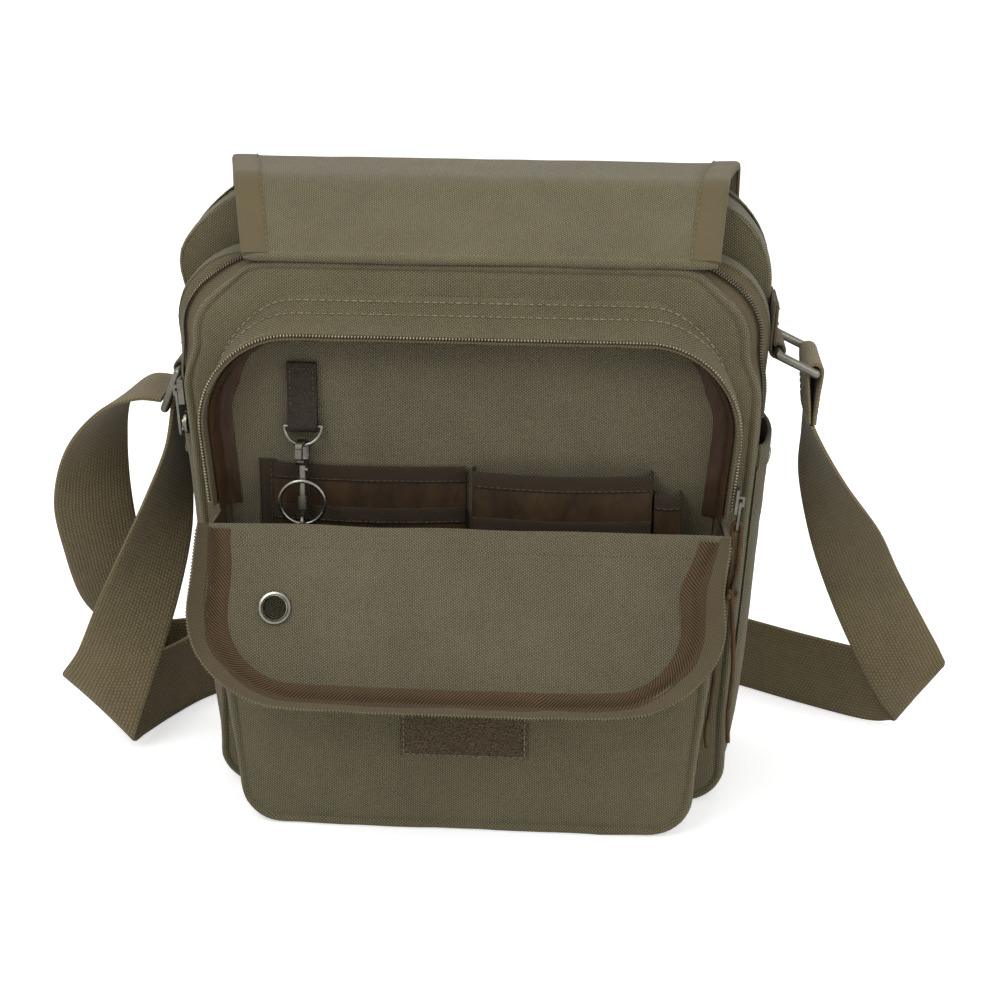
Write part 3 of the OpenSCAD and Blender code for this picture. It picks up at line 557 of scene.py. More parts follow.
def canvas_material(name, rgb, across, along, weft=0.9, deep=0.00035, dark=0.62, light=1.3, rough=0.88, sheen=0.15,
    fade=0.16):
    def build(net):
        uv = net.node("ShaderNodeTexCoord").outputs["UV"]
        obj = net.node("ShaderNodeTexCoord").outputs["Object"]
        w = net.shared("Weave", uv, Across=across, Along=along, Weft=weft)
        f = net.shared("Uneven dye", obj)
        # Painted light: the weave's raised thread tops are made lighter and the gaps between threads darker, a
        # painted highlight and painted shade; dark and light set how much.
        c = net.mix(net.spread(w["Height"], 0.15, 0.95), tone(rgb, dark), tone(rgb, light))
        c = net.mix(net.math("MULTIPLY", w["Slub"], 0.30), c, tone(rgb, 1.25))
        c = net.mix(net.math("MULTIPLY", w["Thread"], 0.12), c, tone(rgb, 0.7))
        c = net.mix(fade, c, net.mix(f["Fade"], tone(rgb, 0.25), tone(rgb, 1.75)))
        h = net.math("ADD", w["Height"], net.math("MULTIPLY", w["Slub"], 0.35))
        r = net.spread(f["Fade"], 0, 1, rough - 0.06, rough + 0.06)
        return {"colour": c, "rough": r, "height": h, "deep": deep}

    return shaded(name, rgb, build, rough=rough, sheen=sheen, spec=0.25)


def twill_material(name, rgb, pitch, slope=1.0, deep=0.0004, dark=0.45, light=1.5, rough=0.7, sheen=0.2, zigzag=0.0,
    spec=0.4):
    """Diagonal ribs, or a herringbone where the slope turns every zigzag metres."""

    def build(net):
        uv = net.node("ShaderNodeTexCoord").outputs["UV"]
        obj = net.node("ShaderNodeTexCoord").outputs["Object"]
        sep = net.node("ShaderNodeSeparateXYZ", Vector=uv)
        x, y = sep.outputs[0], sep.outputs[1]
        if zigzag:
            x = net.math("PINGPONG", x, zigzag)
        d = net.math("DIVIDE", net.math("ADD", x, net.math("MULTIPLY", y, slope)), pitch)
        d = net.math("ADD", d, net.math("MULTIPLY", net.noise(uv, 160.0, 2.0), 0.5))
        rib = net.math("ABSOLUTE", net.math("SINE", net.math("MULTIPLY", d, math.pi)))
        fine = net.math("ABSOLUTE", net.math("SINE", net.math("DIVIDE",
            net.math("SUBTRACT", sep.outputs[0], sep.outputs[1]), pitch * 0.22)))
        h = net.math("MULTIPLY", rib, net.math("MULTIPLY_ADD", fine, 0.3, 0.7))
        f = net.shared("Uneven dye", obj)
        # Painted light: the raised ribs are made lighter and the grooves between them darker, a painted highlight and
        # painted shade; dark and light set how much.
        c = net.mix(net.spread(h, 0.1, 0.95), tone(rgb, dark), tone(rgb, light))
        c = net.mix(0.15, c, net.mix(f["Fade"], tone(rgb, 0.3), tone(rgb, 1.8)))
        return {"colour": c, "rough": net.spread(h, 0, 1, min(rough + 0.15, 1), rough - 0.08), "height": h,
            "deep": deep}

    return shaded(name, rgb, build, rough=rough, sheen=sheen, spec=spec)


def metal_material(name, rgb, rough=0.3, wear=0.25):
    def build(net):
        obj = net.node("ShaderNodeTexCoord").outputs["Object"]
        big = net.noise(obj, 90.0, 4.0, 0.6)
        fine = net.noise(obj, 1500.0, 3.0, 0.65)
        stretch = net.node("ShaderNodeMapping", Vector=obj, Scale=(1.0, 9.0, 1.0))
        brush = net.noise(stretch.outputs[0], 900.0, 2.0)
        c = net.mix(net.spread(big, 0.35, 0.7), tone(rgb, 0.62), tone(rgb, 1.15))
        c = net.mix(net.math("MULTIPLY", net.spread(fine, 0.55, 0.75), wear), c, (0.10, 0.085, 0.06, 1))
        r = net.math("ADD", net.spread(brush, 0.3, 0.7, rough - 0.1, rough + 0.14), net.math("MULTIPLY", big, 0.08))
        return {"colour": c, "rough": r, "height": net.math("ADD", fine, brush), "deep": 0.00003, "strength": 0.35}

    return shaded(name, rgb, build, rough=rough, metal=1.0)


def leather_material(name, rgb, rough=0.42):
    def build(net):
        obj = net.node("ShaderNodeTexCoord").outputs["Object"]
        cells = net.node("ShaderNodeTexVoronoi", Vector=obj, Scale=1500.0,
            feature="DISTANCE_TO_EDGE").outputs["Distance"]
        creases = net.node("ShaderNodeTexVoronoi", Vector=obj, Scale=260.0,
            feature="DISTANCE_TO_EDGE").outputs["Distance"]
        n = net.noise(obj, 120.0, 5.0, 0.65)
        grain = net.math("ADD", net.spread(cells, 0, 0.25), net.math("MULTIPLY", net.spread(creases, 0, 0.08), 0.8))
        c = net.mix(net.spread(n, 0.3, 0.7), tone(rgb, 0.55), tone(rgb, 1.7))
        c = net.mix(net.math("MULTIPLY", net.spread(grain, 0.0, 0.9, 1, 0), 0.5), c, tone(rgb, 0.35))
        return {"colour": c, "rough": net.spread(n, 0.3, 0.7, rough - 0.1, rough + 0.2),
            "height": net.math("ADD", grain, net.math("MULTIPLY", n, 1.2)), "deep": 0.0002}

    return shaded(name, rgb, build, rough=rough, spec=0.3)


def nylon_material(name, rgb):
    """Thin shiny lining with fine wrinkles."""

    def build(net):
        uv = net.node("ShaderNodeTexCoord").outputs["UV"]
        obj = net.node("ShaderNodeTexCoord").outputs["Object"]
        w = net.shared("Weave", uv, Across=0.0005, Along=0.0005)
        long = net.node("ShaderNodeMapping", Vector=obj, Scale=(1.0, 1.0, 0.35))
        crease = net.noise(long.outputs[0], 85.0, 4.0, 0.6)
        n = net.noise(obj, 30.0, 3.0)
        h = net.math("ADD", net.math("MULTIPLY", crease, 9.0), net.math("MULTIPLY", w["Height"], 0.25))
        # Painted light: the wrinkles' crests are made lighter and their folds darker, a painted highlight and painted
        # shade, and the weave's thread tops lighter still.
        c = net.mix(net.spread(crease, 0.3, 0.7), tone(rgb, 0.5), tone(rgb, 1.7))
        c = net.mix(net.math("MULTIPLY", w["Height"], 0.3), c, tone(rgb, 1.3))
        return {"colour": c, "rough": net.spread(n, 0.3, 0.7, 0.34, 0.5), "height": h, "deep": 0.0003}

    return shaded(name, rgb, build, rough=0.4, sheen=0.03, spec=0.25)


def pile_material(name, rgb):
    """Hook and loop pile."""

    def build(net):
        obj = net.node("ShaderNodeTexCoord").outputs["Object"]
        loops = net.node("ShaderNodeTexVoronoi", Vector=obj, Scale=1100.0).outputs["Distance"]
        n = net.noise(obj, 500.0, 4.0, 0.7)
        big = net.noise(obj, 110.0, 4.0, 0.65)
        h = net.math("ADD", net.spread(loops, 0, 0.8, 1, 0), n)
        # Painted light: the loops' raised tops are made lighter and the gaps between them darker, a painted highlight
        # and painted shade.
        c = net.mix(net.spread(h, 0.5, 1.6), tone(rgb, 0.35), tone(rgb, 1.6))
        c = net.mix(net.math("MULTIPLY", net.spread(big, 0.35, 0.65), 0.5), c, tone(rgb, 0.6))
        return {"colour": c, "height": h, "deep": 0.0009}

    return shaded(name, rgb, build, rough=0.9, sheen=0.3, spec=0.2)


def thread_material(name, rgb):
    def build(net):
        obj = net.node("ShaderNodeTexCoord").outputs["Object"]
        n = net.noise(obj, 260.0, 3.0)
        ply = net.node("ShaderNodeTexWave", Vector=obj, Scale=900.0, Distortion=2.0).outputs["Fac"]
        c = net.mix(net.spread(n, 0.35, 0.65), tone(rgb, 0.7), tone(rgb, 1.25))
        c = net.mix(net.math("MULTIPLY", ply, 0.35), c, tone(rgb, 0.55))
        return {"colour": c, "height": ply, "deep": 0.0001}

    return shaded(name, rgb, build, rough=0.6, sheen=0.2, spec=0.4)


def srgb(r, g, b):
    return tuple((c / 255 / 12.92) if c <= 10 else ((c / 255 + 0.055) / 1.055) ** 2.4 for c in (r, g, b))


def make_materials():
    weave_group()
    fade_group()
    olive = srgb(103, 96, 72)
    # In these canvas calls, dark and light set the painted shade in the weave's gaps and the painted highlight on its
    # thread tops.
    canvas_material("canvas", olive, 0.0008, 0.00058, weft=0.25, dark=0.34, light=2.5, fade=0.2)
    canvas_material("canvas_inner", srgb(99, 92, 72), 0.0008, 0.00058, weft=0.25, dark=0.34, light=2.5, fade=0.2)
    canvas_material("hem", srgb(92, 82, 56), 0.0006, 0.0006, deep=0.0001, dark=0.85, light=1.1, rough=0.8, fade=0.2)
    canvas_material("webbing", srgb(113, 101, 73), 0.0016, 0.00088, weft=0.5, deep=0.0004, dark=0.42, light=1.75,
        rough=0.85, fade=0.2)
    canvas_material("tab_webbing", srgb(92, 80, 57), 0.0015, 0.0012, weft=0.75, deep=0.0004, dark=0.5, light=1.4,
        rough=0.8, fade=0.2)
    # In these twill calls, dark and light set the painted shade in the grooves and the painted highlight on the ribs.
    twill_material("binding", srgb(72, 57, 38), 0.0015, 1.0, deep=0.0006, dark=0.22, light=2.1, sheen=0.05, spec=0.2)
    twill_material("slot_binding", srgb(44, 35, 24), 0.0014, 1.0, dark=0.25, light=2.1, sheen=0.05, spec=0.2)
    twill_material("zip_tape", srgb(90, 80, 59), 0.0013, 0.9, deep=0.0003, dark=0.5, light=1.5, rough=0.78,
        zigzag=0.0036, spec=0.2, sheen=0.05)
    nylon_material("lining", srgb(52, 35, 18))
    nylon_material("slot_cloth", srgb(52, 38, 22))
    # The organiser zip's two halves are one coil drawn as a lit and a shaded copy: coil, the lighter, carries a
    # painted highlight on the bag's half, and dark_coil is painted shade on the door's half. dark_coil is also the
    # compartment zips' own darker coil.
    metal_material("coil", srgb(160, 150, 126), 0.3, 0.2)
    metal_material("dark_coil", srgb(112, 103, 84), 0.36, 0.3)
    metal_material("steel", srgb(128, 124, 114), 0.28, 0.3)
    metal_material("bright_steel", srgb(150, 148, 138), 0.22, 0.1)
    leather_material("leather", srgb(38, 28, 17), 0.36)
    leather_material("lace", srgb(76, 55, 29), 0.45)
    pile_material("pile", srgb(94, 80, 54))
    pile_material("hooks", srgb(84, 74, 54))
    thread_material("thread", srgb(136, 127, 95))
    thread_material("hem_thread", srgb(104, 94, 66))
    thread_material("dark_thread", srgb(70, 54, 38))


# ---------------------------------------------------------------- cloth behaviour
def crumple(P, amount, seed, keep=None, ripple=0.0, even=0):
    """Moves a grid along its normals by soft dents, less where keep is small.
    Even is how many rows on each side the normals are averaged over."""
    n = grid_normals(P)
    if even:
        wide = np.concatenate([n[:1]] * even + [n] + [n[-1:]] * even)
        n = sum(wide[k:k + len(n)] for k in range(2 * even + 1))
        n = n / np.linalg.norm(n, axis=2, keepdims=True)
    d = 1.0 * soft_noise(P, 62.0, seed) + 0.45 * soft_noise(P, 24.0, seed + 7) + 0.16 * soft_noise(P, 9.0, seed + 13)
    d = d * amount
    if ripple:
        d = d + ripple * soft_noise(P * np.array([1, 0.25, 1]), 6.5, seed + 21)
    if keep is not None:
        d = d * keep
    return P + n * d[..., None]


LOW_BEVEL, HIGH_BEVEL, SWELL, REAR_SWELL = 2.0, 8.0, 2.4, 4.2


def smooth_step(v):
    v = np.clip(v, 0, 1)
    return v * v * (3 - 2 * v)


def bevelled(P):
    """Draws the front panel's edge inwards at the sides and the shoulders, so that its zip tape slopes."""
    x, y, z = P[..., 0], P[..., 1], P[..., 2]
    deep = np.clip((-5.9 - y) / 14.0, 0, 1)
    aside = smooth_step((np.abs(x) - 86) / 30) * np.clip((z - 14) / 30, 0, 1)
    up = np.clip((z - 200) / 45, 0, 1) * 0.8
    length = np.hypot(0.94, up)
    move = (LOW_BEVEL + HIGH_BEVEL * smooth_step((z - 192) / 26)) * deep * aside
    full = SWELL * np.exp(-(((z - 220) / 30) ** 2)) * smooth_step((-x - 70) / 45) * smooth_step((12 - y) / 16)
    Q = P.copy()
    Q[..., 0] -= move * np.sign(x) * 0.94 / length + full
    Q[..., 2] -= move * up / length
    return Q


def filled_out(P):
    """Fills out the rear compartment's left shoulder."""
    Q = P.copy()
    Q[..., 0] -= REAR_SWELL * np.exp(-(((P[..., 2] - 244) / 15) ** 2)) * smooth_step((-P[..., 0] - 70) / 45)
    return Q


def panel_stations(y, sense, bulge, groove=True, deepest=112.0):
    """Stations of a panel from its middle to its rolled edge. Sense is -1 for a front, 1 for a back."""
    insets = [i for i in (112, 98, 84, 70, 58, 47, 38, 30, 23, 17, 12.5, 9, 7) if i <= deepest]
    out = [(i, y + sense * bulge * (1 - math.exp(-i / 28))) for i in insets]
    if groove:
        edge = ((5.6, 0.25), (4.8, -0.25), (4.0, -0.35), (3.3, 0.35), (2.4, 0.9), (1.5, 0.85), (0.7, 0.2))
    else:
        edge = ((4.5, 0), (2.6, 0), (1.2, -0.2))
    edge += ((0.15, -0.8), (-0.15, -1.9), (0.0, -3.2))
    return out + [(i, y + sense * rise) for i, rise in edge]


def fold_middle(P):
    """Closes the innermost ring on the middle line."""
    P[0, :, 0] = 0
    return P


def along_panel(P):
    return np.stack([P[..., 0], P[..., 2]], 2) * MM


def shell_uv(P, split):
    """X and Z on the panel rows, and the length round the edge and the depth after them."""
    uv = along_panel(P)
    ring = arc_uv(P[split:])
    uv[split:, :, 0] = P[split:, :, 1] * MM
    uv[split:, :, 1] = ring[..., 0]
    return uv


def bisect_keep(o, point, normal):
    """Cuts an object by a plane and keeps the side that the normal points away from."""
    only(o)
    bpy.ops.object.mode_set(mode="EDIT")
    bpy.ops.mesh.select_all(action="SELECT")
    bpy.ops.mesh.bisect(plane_co=Vector(point) * MM, plane_no=normal, clear_outer=True)
    bpy.ops.object.mode_set(mode="OBJECT")


def wall(o, thick):
    """Gives a cut shell its thickness, inwards."""
    m = o.modifiers.new("wall", "SOLIDIFY")
    m.thickness = thick * MM
    m.offset = -1
    apply_all(o)
    only(o)
    bpy.ops.object.shade_smooth_by_angle(angle=math.radians(SMOOTH))


def ring_line(shape, inset, y, low):
    """The outline as a line of points above a height, open at the bottom, with its normals."""
    p, n = outline(shape, inset)
    p3 = np.stack([p[:, 0], np.full(len(p), float(y)), p[:, 1]], 1)
    n3 = np.stack([n[:, 0], np.zeros(len(n)), n[:, 1]], 1)
    ok = p[:, 1] > low
    i = np.argmax(ok)
    j = len(ok) - np.argmax(ok[::-1])
    q, m = p3[i:j], n3[i:j]

    def end(a, b, na):
        t = (low - a[2]) / (b[2] - a[2])
        return a + (b - a) * t, na

    a, na = end(p3[i - 1], p3[i], n3[i])
    b, nb = end(p3[j], p3[j - 1], n3[j - 1])
    return np.concatenate([[a], q, [b]]), np.concatenate([[na], m, [nb]])

def ring_rows(shape, section, low):
    """Grid of such lines, one for each inset and depth of a section."""
    return np.array([ring_line(shape, inset, y, low)[0] for inset, y in section])


def coil_beads(line, normals, half, pitch, rise=0.55, single=0):
    """Placements of a zip's coil turns on both sides of a line, or on one side."""
    out = []
    for side in ((-1, 1) if not single else (single,)):
        q, e = resample(np.concatenate([line, normals], 1), pitch)
        shift = 0.5 if side > 0 else 0.0
        for k in range(len(q)):
            p, n = q[k, :3], unit(q[k, 3:])
            d = unit(e[k, :3])
            a = unit(np.cross(n, d))
            out.append(place(p + a * side * half + n * rise + d * shift * pitch, a + d * 0.22 * side, n))
    return out


class BagSizes(bpy.types.PropertyGroup):
    """Sizes of the cloth's behaviour and of small details."""

    dents: bpy.props.FloatProperty(name="Dents", description="Depth of the soft dents in the canvas, in millimetres",
        default=1.0, min=0.0, max=2.0)
    tape_t: bpy.props.FloatProperty(name="Zip tape", description="Thickness of a zip tape", default=0.7 * MM,
        min=0.0004, max=0.002, subtype="DISTANCE")
    coil_pitch: bpy.props.FloatProperty(name="Coil pitch", description="Distance between two turns of a zip's coil",
        default=1.22 * MM, min=0.0008, max=0.003, subtype="DISTANCE")
    stitch: bpy.props.FloatProperty(name="Stitch", description="Length of one stitch", default=3.4 * MM, min=0.002,
        max=0.006, subtype="DISTANCE")


class BagColours(bpy.types.PropertyGroup):
    """Colours that a user would change."""

    floor: bpy.props.FloatVectorProperty(name="Floor", description="Colour of the floor and the backdrop",
        subtype="COLOR", size=3, default=(0.86, 0.86, 0.86), min=0.0, max=1.0)


class BAG_OT_materials(bpy.types.Operator):
    """Make the cloth, leather, metal and thread finishes"""

    bl_idname = "bag.materials"
    bl_label = "Finishes"

    def execute(self, context):
        make_materials()
        return {"FINISHED"}


class BAG_OT_camera(bpy.types.Operator):
    """Place the camera a little to the right of the front and above the bag"""

    bl_idname = "bag.camera"
    bl_label = "Camera"

    def execute(self, context):
        clear_selection()
        bpy.ops.object.camera_add(location=(0.059, -0.8437, 0.4478))
        cam = context.object
        look = Vector((0, 0, 0.140)) - cam.location
        cam.rotation_euler = (look.to_track_quat("-Z", "Y").to_matrix() @ Matrix.Rotation(math.radians(0.19), 3,
            "Z")).to_euler()
        cam.data.lens = 72.2
        cam.data.sensor_width = 36
        cam.data.shift_x = 0.0258
        cam.data.shift_y = -0.0086
        context.scene.camera = cam
        return {"FINISHED"}


class BAG_OT_body(bpy.types.Operator):
    """Make the canvas shells of the two zipped compartments"""

    bl_idname = "bag.body"
    bl_label = "Compartments"

    def execute(self, context):
        s = context.scene.bag_sizes
        # Front compartment: panel, rolled seam and gusset with its zip slot
        st = panel_stations(FRONT_Y, -1, 1.2)[:-1]
        slot = len(st)
        split = slot - 1
        st += [(0, -19.7), (0.1, -17), (0.3, -14), (0.4, -12.8), (0.3, -11), (0.1, -8), (0, -5.9), (-0.4, -3),
            (-0.7, 1), (-0.7, 5), (-0.4, 9), (0, 11.6)]
        P = bevelled(fold_middle(loft(FRONT, st)))
        keep = np.ones(P.shape[:2])
        keep[-3:] = 0.3
        P = crumple(P, s.dents, 3.0, keep, ripple=0.12, even=4)
        o = cloth("front_compartment", P, CANVAS, uv=shell_uv(P, split), wrap=True,
                  drop=lambda z, row: (z > ZIP_END) & (row >= slot) & (row < slot + 6))
        finish_piece(o, "canvas", "bag", "canvas", "front_panel", "front_gusset", "front_lining")
        # Rear compartment, from the middle of the back round to the divider's seam
        st = panel_stations(BACK_Y, 1, 1.5, groove=False)
        slot = len(st)
        split = slot - 2
        st += [(0, 51.1), (0.2, 48), (0.4, 44), (0.2, 40), (0, 36.9), (-0.6, 33), (-1.0, 27), (-0.9, 21), (-0.5, 17),
            (-0.2, 14.6), (-0.3, 13.4), (0.2, 12.3), (1.2, 11.9)]
        P = filled_out(fold_middle(loft(MAIN, st)))
        P = crumple(P, s.dents, 11.0, ripple=0.12)
        o = cloth("rear_compartment", P, CANVAS, uv=shell_uv(P, split), wrap=True,
                  drop=lambda z, row: (z > ZIP_END) & (row >= slot) & (row < slot + 4))
        finish_piece(o, "canvas", "bag", "canvas", "back_panel", "main_gusset", "main_lining")
        # Divider between the compartments
        st = [(i, 12.3) for i in (112, 90, 70, 50, 34, 22, 14, 9, 5, 2.5)] + [(1.2, 12.2), (0.5, 12.6)]
        P = filled_out(fold_middle(loft(MAIN, st)))
        P = crumple(P, 0.25, 17.0)
        o = cloth("divider", P, 1.2, away=(0, 400, 130), uv=along_panel(P), wrap=True)
        finish_piece(o, "canvas", "bag", "canvas", "divider_panel")
        # Stitching beside the rear compartment's zip
        for y in (52.6, 35.4):
            line, nor = ring_line(MAIN, 0.15, y, ZIP_END - 3)
            stitch_row("body", filled_out(line), nor, s.stitch / MM)
        sew("body", "bag", finish="hem_thread")
        return {"FINISHED"}


class BAG_OT_body_zips(bpy.types.Operator):
    """Make the closed zips of the two compartments"""

    bl_idname = "bag.body_zips"
    bl_label = "Compartment zips"

    def execute(self, context):
        s = context.scene.bag_sizes
        tape = ((1.1, -7.4), (0.9, -6.6), (0.75, -4.5), (0.7, -2.6), (0.9, 0), (0.7, 2.6), (0.75, 4.5), (0.9, 6.6),
            (1.1, 7.4))
        kinds = (("front", FRONT, FRONT_ZIP_Y, bevelled), ("main", MAIN, MAIN_ZIP_Y, filled_out))
        for name, shape, y, moved in kinds:
            P = moved(ring_rows(shape, [(inset, y + dy) for inset, dy in tape], ZIP_END + 0.6))
            P = P + grid_normals(P) * (0.12 * soft_noise(P, 7.0, 3.0))[..., None]
            o = cloth(name + "_zip_tape", P, s.tape_t / MM, uv=arc_uv(P)[..., ::-1])
            finish_piece(o, "zip_tape", "bag", "zip", name + "_zip")
            line, nor = ring_line(shape, 0.2, y, ZIP_END + 2)
            line = moved(line)
            if name == "front":
                nor = nor + np.array([0, -0.34, 0]) * np.clip((np.abs(line[:, :1]) - 84) / 18, 0, 1)
            beads = coil_beads(line, nor, 1.15, s.coil_pitch / MM, rise=0.75)
            o = copies(name + "_zip_coil", bead_template(2.7, 0.95, 1.25), beads)
            finish_piece(o, "dark_coil", "bag", "zip", name + "_zip")
        return {"FINISHED"}


class BAG_OT_pocket(bpy.types.Operator):
    """Make the organiser pocket's lower front, its gusset and the lapped seam above it"""

    bl_idname = "bag.pocket"
    bl_label = "Organiser pocket"

    def execute(self, context):
        s = context.scene.bag_sizes
        st = panel_stations(POCKET_Y, -1, 1.6, deepest=98)
        split = len(st) - 2
        st += [(-0.3, -50), (-0.8, -46), (-1.1, -41), (-1.0, -36), (-0.7, -31), (-0.3, -27), (0.2, -24.4),
            (0.2, -22.6)]
        P = fold_middle(loft(POCKET, st))
        keep = np.ones(P.shape[:2])
        keep[-2:] = 0.2
        P = crumple(P, s.dents * 1.1, 5.0, keep, ripple=0.15)
        o = cloth("pocket_lower", P, 0, uv=shell_uv(P, split), wrap=True)
        bisect_keep(o, (0, 0, FOLD_Z - 5.0), (0, 0, 1))
        wall(o, CANVAS)
        finish_piece(o, "canvas", "bag", "canvas", "pocket_gusset", "pocket_lower_panel", "pocket_piping")
        # Frame above the fold: gusset from the zip tape up to the lapped seam on the front panel
        rows = []
        for inset, y, lift in ((0.9, TAPE_Y - 2.6, 0), (0.35, TAPE_Y - 1.2, 0), (-0.2, TAPE_Y, 0),
            (-0.9, TAPE_Y + 2.2, 0.8), (-1.2, TAPE_Y + 4.2, 2.6), (-0.9, TAPE_Y + 5.9, 5.4),
            (-0.6, TAPE_Y + 6.8, 8.4), (-0.3, TAPE_Y + 7.3, 11.6), (0.2, TAPE_Y + 7.7, 13.8),
            (0.6, TAPE_Y + 8.2, 14.6)):
            line, _ = ring_line(POCKET, inset, y, FOLD_Z)
            up = np.clip((line[:, 2] - 186) / 34, 0, 1) ** 1.5
            line[:, 2] += lift * up
            line[:, 0] *= 1 - 0.016 * up * lift / 14
            rows.append(line)
        P = np.array(rows)
        P = crumple(P, s.dents * 0.8, 9.0, ripple=0.15)
        o = cloth("pocket_frame", P, CANVAS)
        finish_piece(o, "canvas", "bag", "canvas", "pocket_gusset")
        for k in (7, 5):
            line = P[k]
            n = grid_normals(P)[k]
            if (n * (line - np.array(BAG_MIDDLE))).sum() < 0:
                n = -n
            upper = line[:, 2] > 205
            stitch_row("pocket", line[upper], n[upper], s.stitch / MM, lift=0.25)
        line, nor = ring_line(POCKET, -0.2, TAPE_Y + 0.9, FOLD_Z + 2)
        stitch_row("pocket", line, nor, 2.8, lift=0.2)
        sew("pocket", "bag")
        # Lining of the organiser, gathered a little inside the gusset
        section = ((2.2, TAPE_Y - 3.4), (3.0, TAPE_Y - 2.0), (3.6, TAPE_Y + 1), (4.2, -27), (5.2, -25), (7.5, -24.1),
            (10.5, -23.9))
        P = ring_rows(POCKET, section, FOLD_Z - 2)
        high = np.clip((P[..., 2] - 196) / 12, 0, 1)[4:, :, None]
        P[4:] = P[4:] * (1 - high) + (P[3:4] + np.array([0, 3.0, 0])) * high
        w = np.array([0.1, 0.5, 1.1, 1.4, 1.2, 0.4, 0.1])[:, None]
        P = P + grid_normals(P) * (w * (soft_noise(P * np.array([1, 0.3, 1]), 9.0, 2.0)
            + 0.6 * soft_noise(P, 5.0, 4.0)))[..., None]
        o = cloth("pocket_lining_upper", P, 0.4)
        finish_piece(o, "lining", "bag", "lining", "pocket_lining")
        st = [(2.1, -54.6), (2.4, -50), (3.0, -44), (3.2, -38), (3.2, -32), (2.8, -26), (2.3, -23.6)]
        P = loft(POCKET, st)
        P = crumple(P, 0.5, 23.0)
        o = cloth("pocket_lining_lower", P, 0, wrap=True)
        bisect_keep(o, (0, 0, FOLD_Z - 2), (0, 0, 1))
        wall(o, 0.4)
        finish_piece(o, "lining", "bag", "lining", "pocket_lining")
        return {"FINISHED"}


class BAG_OT_pocket_zip(bpy.types.Operator):
    """Make the half of the organiser's zip that stays on the bag"""

    bl_idname = "bag.pocket_zip"
    bl_label = "Organiser zip"

    def execute(self, context):
        s = context.scene.bag_sizes
        tape = ((0.5, 0.0), (0.25, 1.0), (0.2, 2.6), (0.5, 5), (0.9, 7.4), (1.2, 9.4))
        P = ring_rows(POCKET, [(inset, SPLIT_Y + dy) for inset, dy in tape], FOLD_Z + 0.4)
        P = P + grid_normals(P) * (0.2 * soft_noise(P, 12.0, 8.0))[..., None]
        o = cloth("pocket_zip_tape", P, s.tape_t / MM, uv=arc_uv(P)[..., ::-1])
        finish_piece(o, "zip_tape", "bag", "zip", "pocket_zip")
        line, nor = ring_line(POCKET, -0.1, SPLIT_Y + 1.15, FOLD_Z + 4)
        beads = coil_beads(line, nor, 0.0, s.coil_pitch / MM * OPEN_PITCH, single=1)
        o = copies("pocket_zip_coil", bead_template(2.7, 0.9, 1.35), beads)
        # The lighter copy of the coil, a painted highlight on this half of the zip.
        finish_piece(o, "coil", "bag", "zip", "pocket_zip")
        return {"FINISHED"}


# ---------------------------------------------------------------- the door, made shut and let down
def let_down(points):
    """Turns points in millimetres from the shut door to where it hangs open."""
    p = np.asarray(points, float)
    y, z = p[..., 1] - POCKET_Y, p[..., 2] - FOLD_Z
    c, s = math.cos(DOOR_OPEN), math.sin(DOOR_OPEN)
    return np.stack([p[..., 0], POCKET_Y + y * c - z * s, FOLD_Z + y * s + z * c], -1)


def flared(P):
    """Slopes the shut door's rim, so that its canvas is narrower than its zip."""
    deep = np.clip((SPLIT_Y - P[..., 1]) / 16.7, 0, 1)
    away = smooth_step((P[..., 2] - FOLD_Z) / 26)
    right, low = np.clip(P[..., 0] / 105, 0, 1), np.clip(-P[..., 0] / 105, 0, 1)
    Q = P.copy()
    Q[..., 0] -= right * (deep * (4.0 + 6.0 * away) + 4.2 * away) - low * deep * (3.0 + 3.5 * away)
    reach = np.clip((P[..., 2] - 170) / 50, 0, 1) ** 2
    Q[..., 2] -= deep * 2.5 * reach + reach * (6.0 * right ** 4 + 4.0 * low ** 4)
    return Q


def turn_object(o):
    """Moves a finished mesh from the shut door to the open one."""
    set_points(o, let_down(get_points(o) / MM) * MM)


def turn_places(places):
    c, s = math.cos(DOOR_OPEN), math.sin(DOOR_OPEN)
    R = np.array([[1, 0, 0], [0, c, -s], [0, s, c]])
    out = []
    for m in places:
        q = np.eye(4)
        q[:3, :3] = R @ m[:3, :3]
        q[:3, 3] = let_down(m[:3, 3])
        out.append(q)
    return out


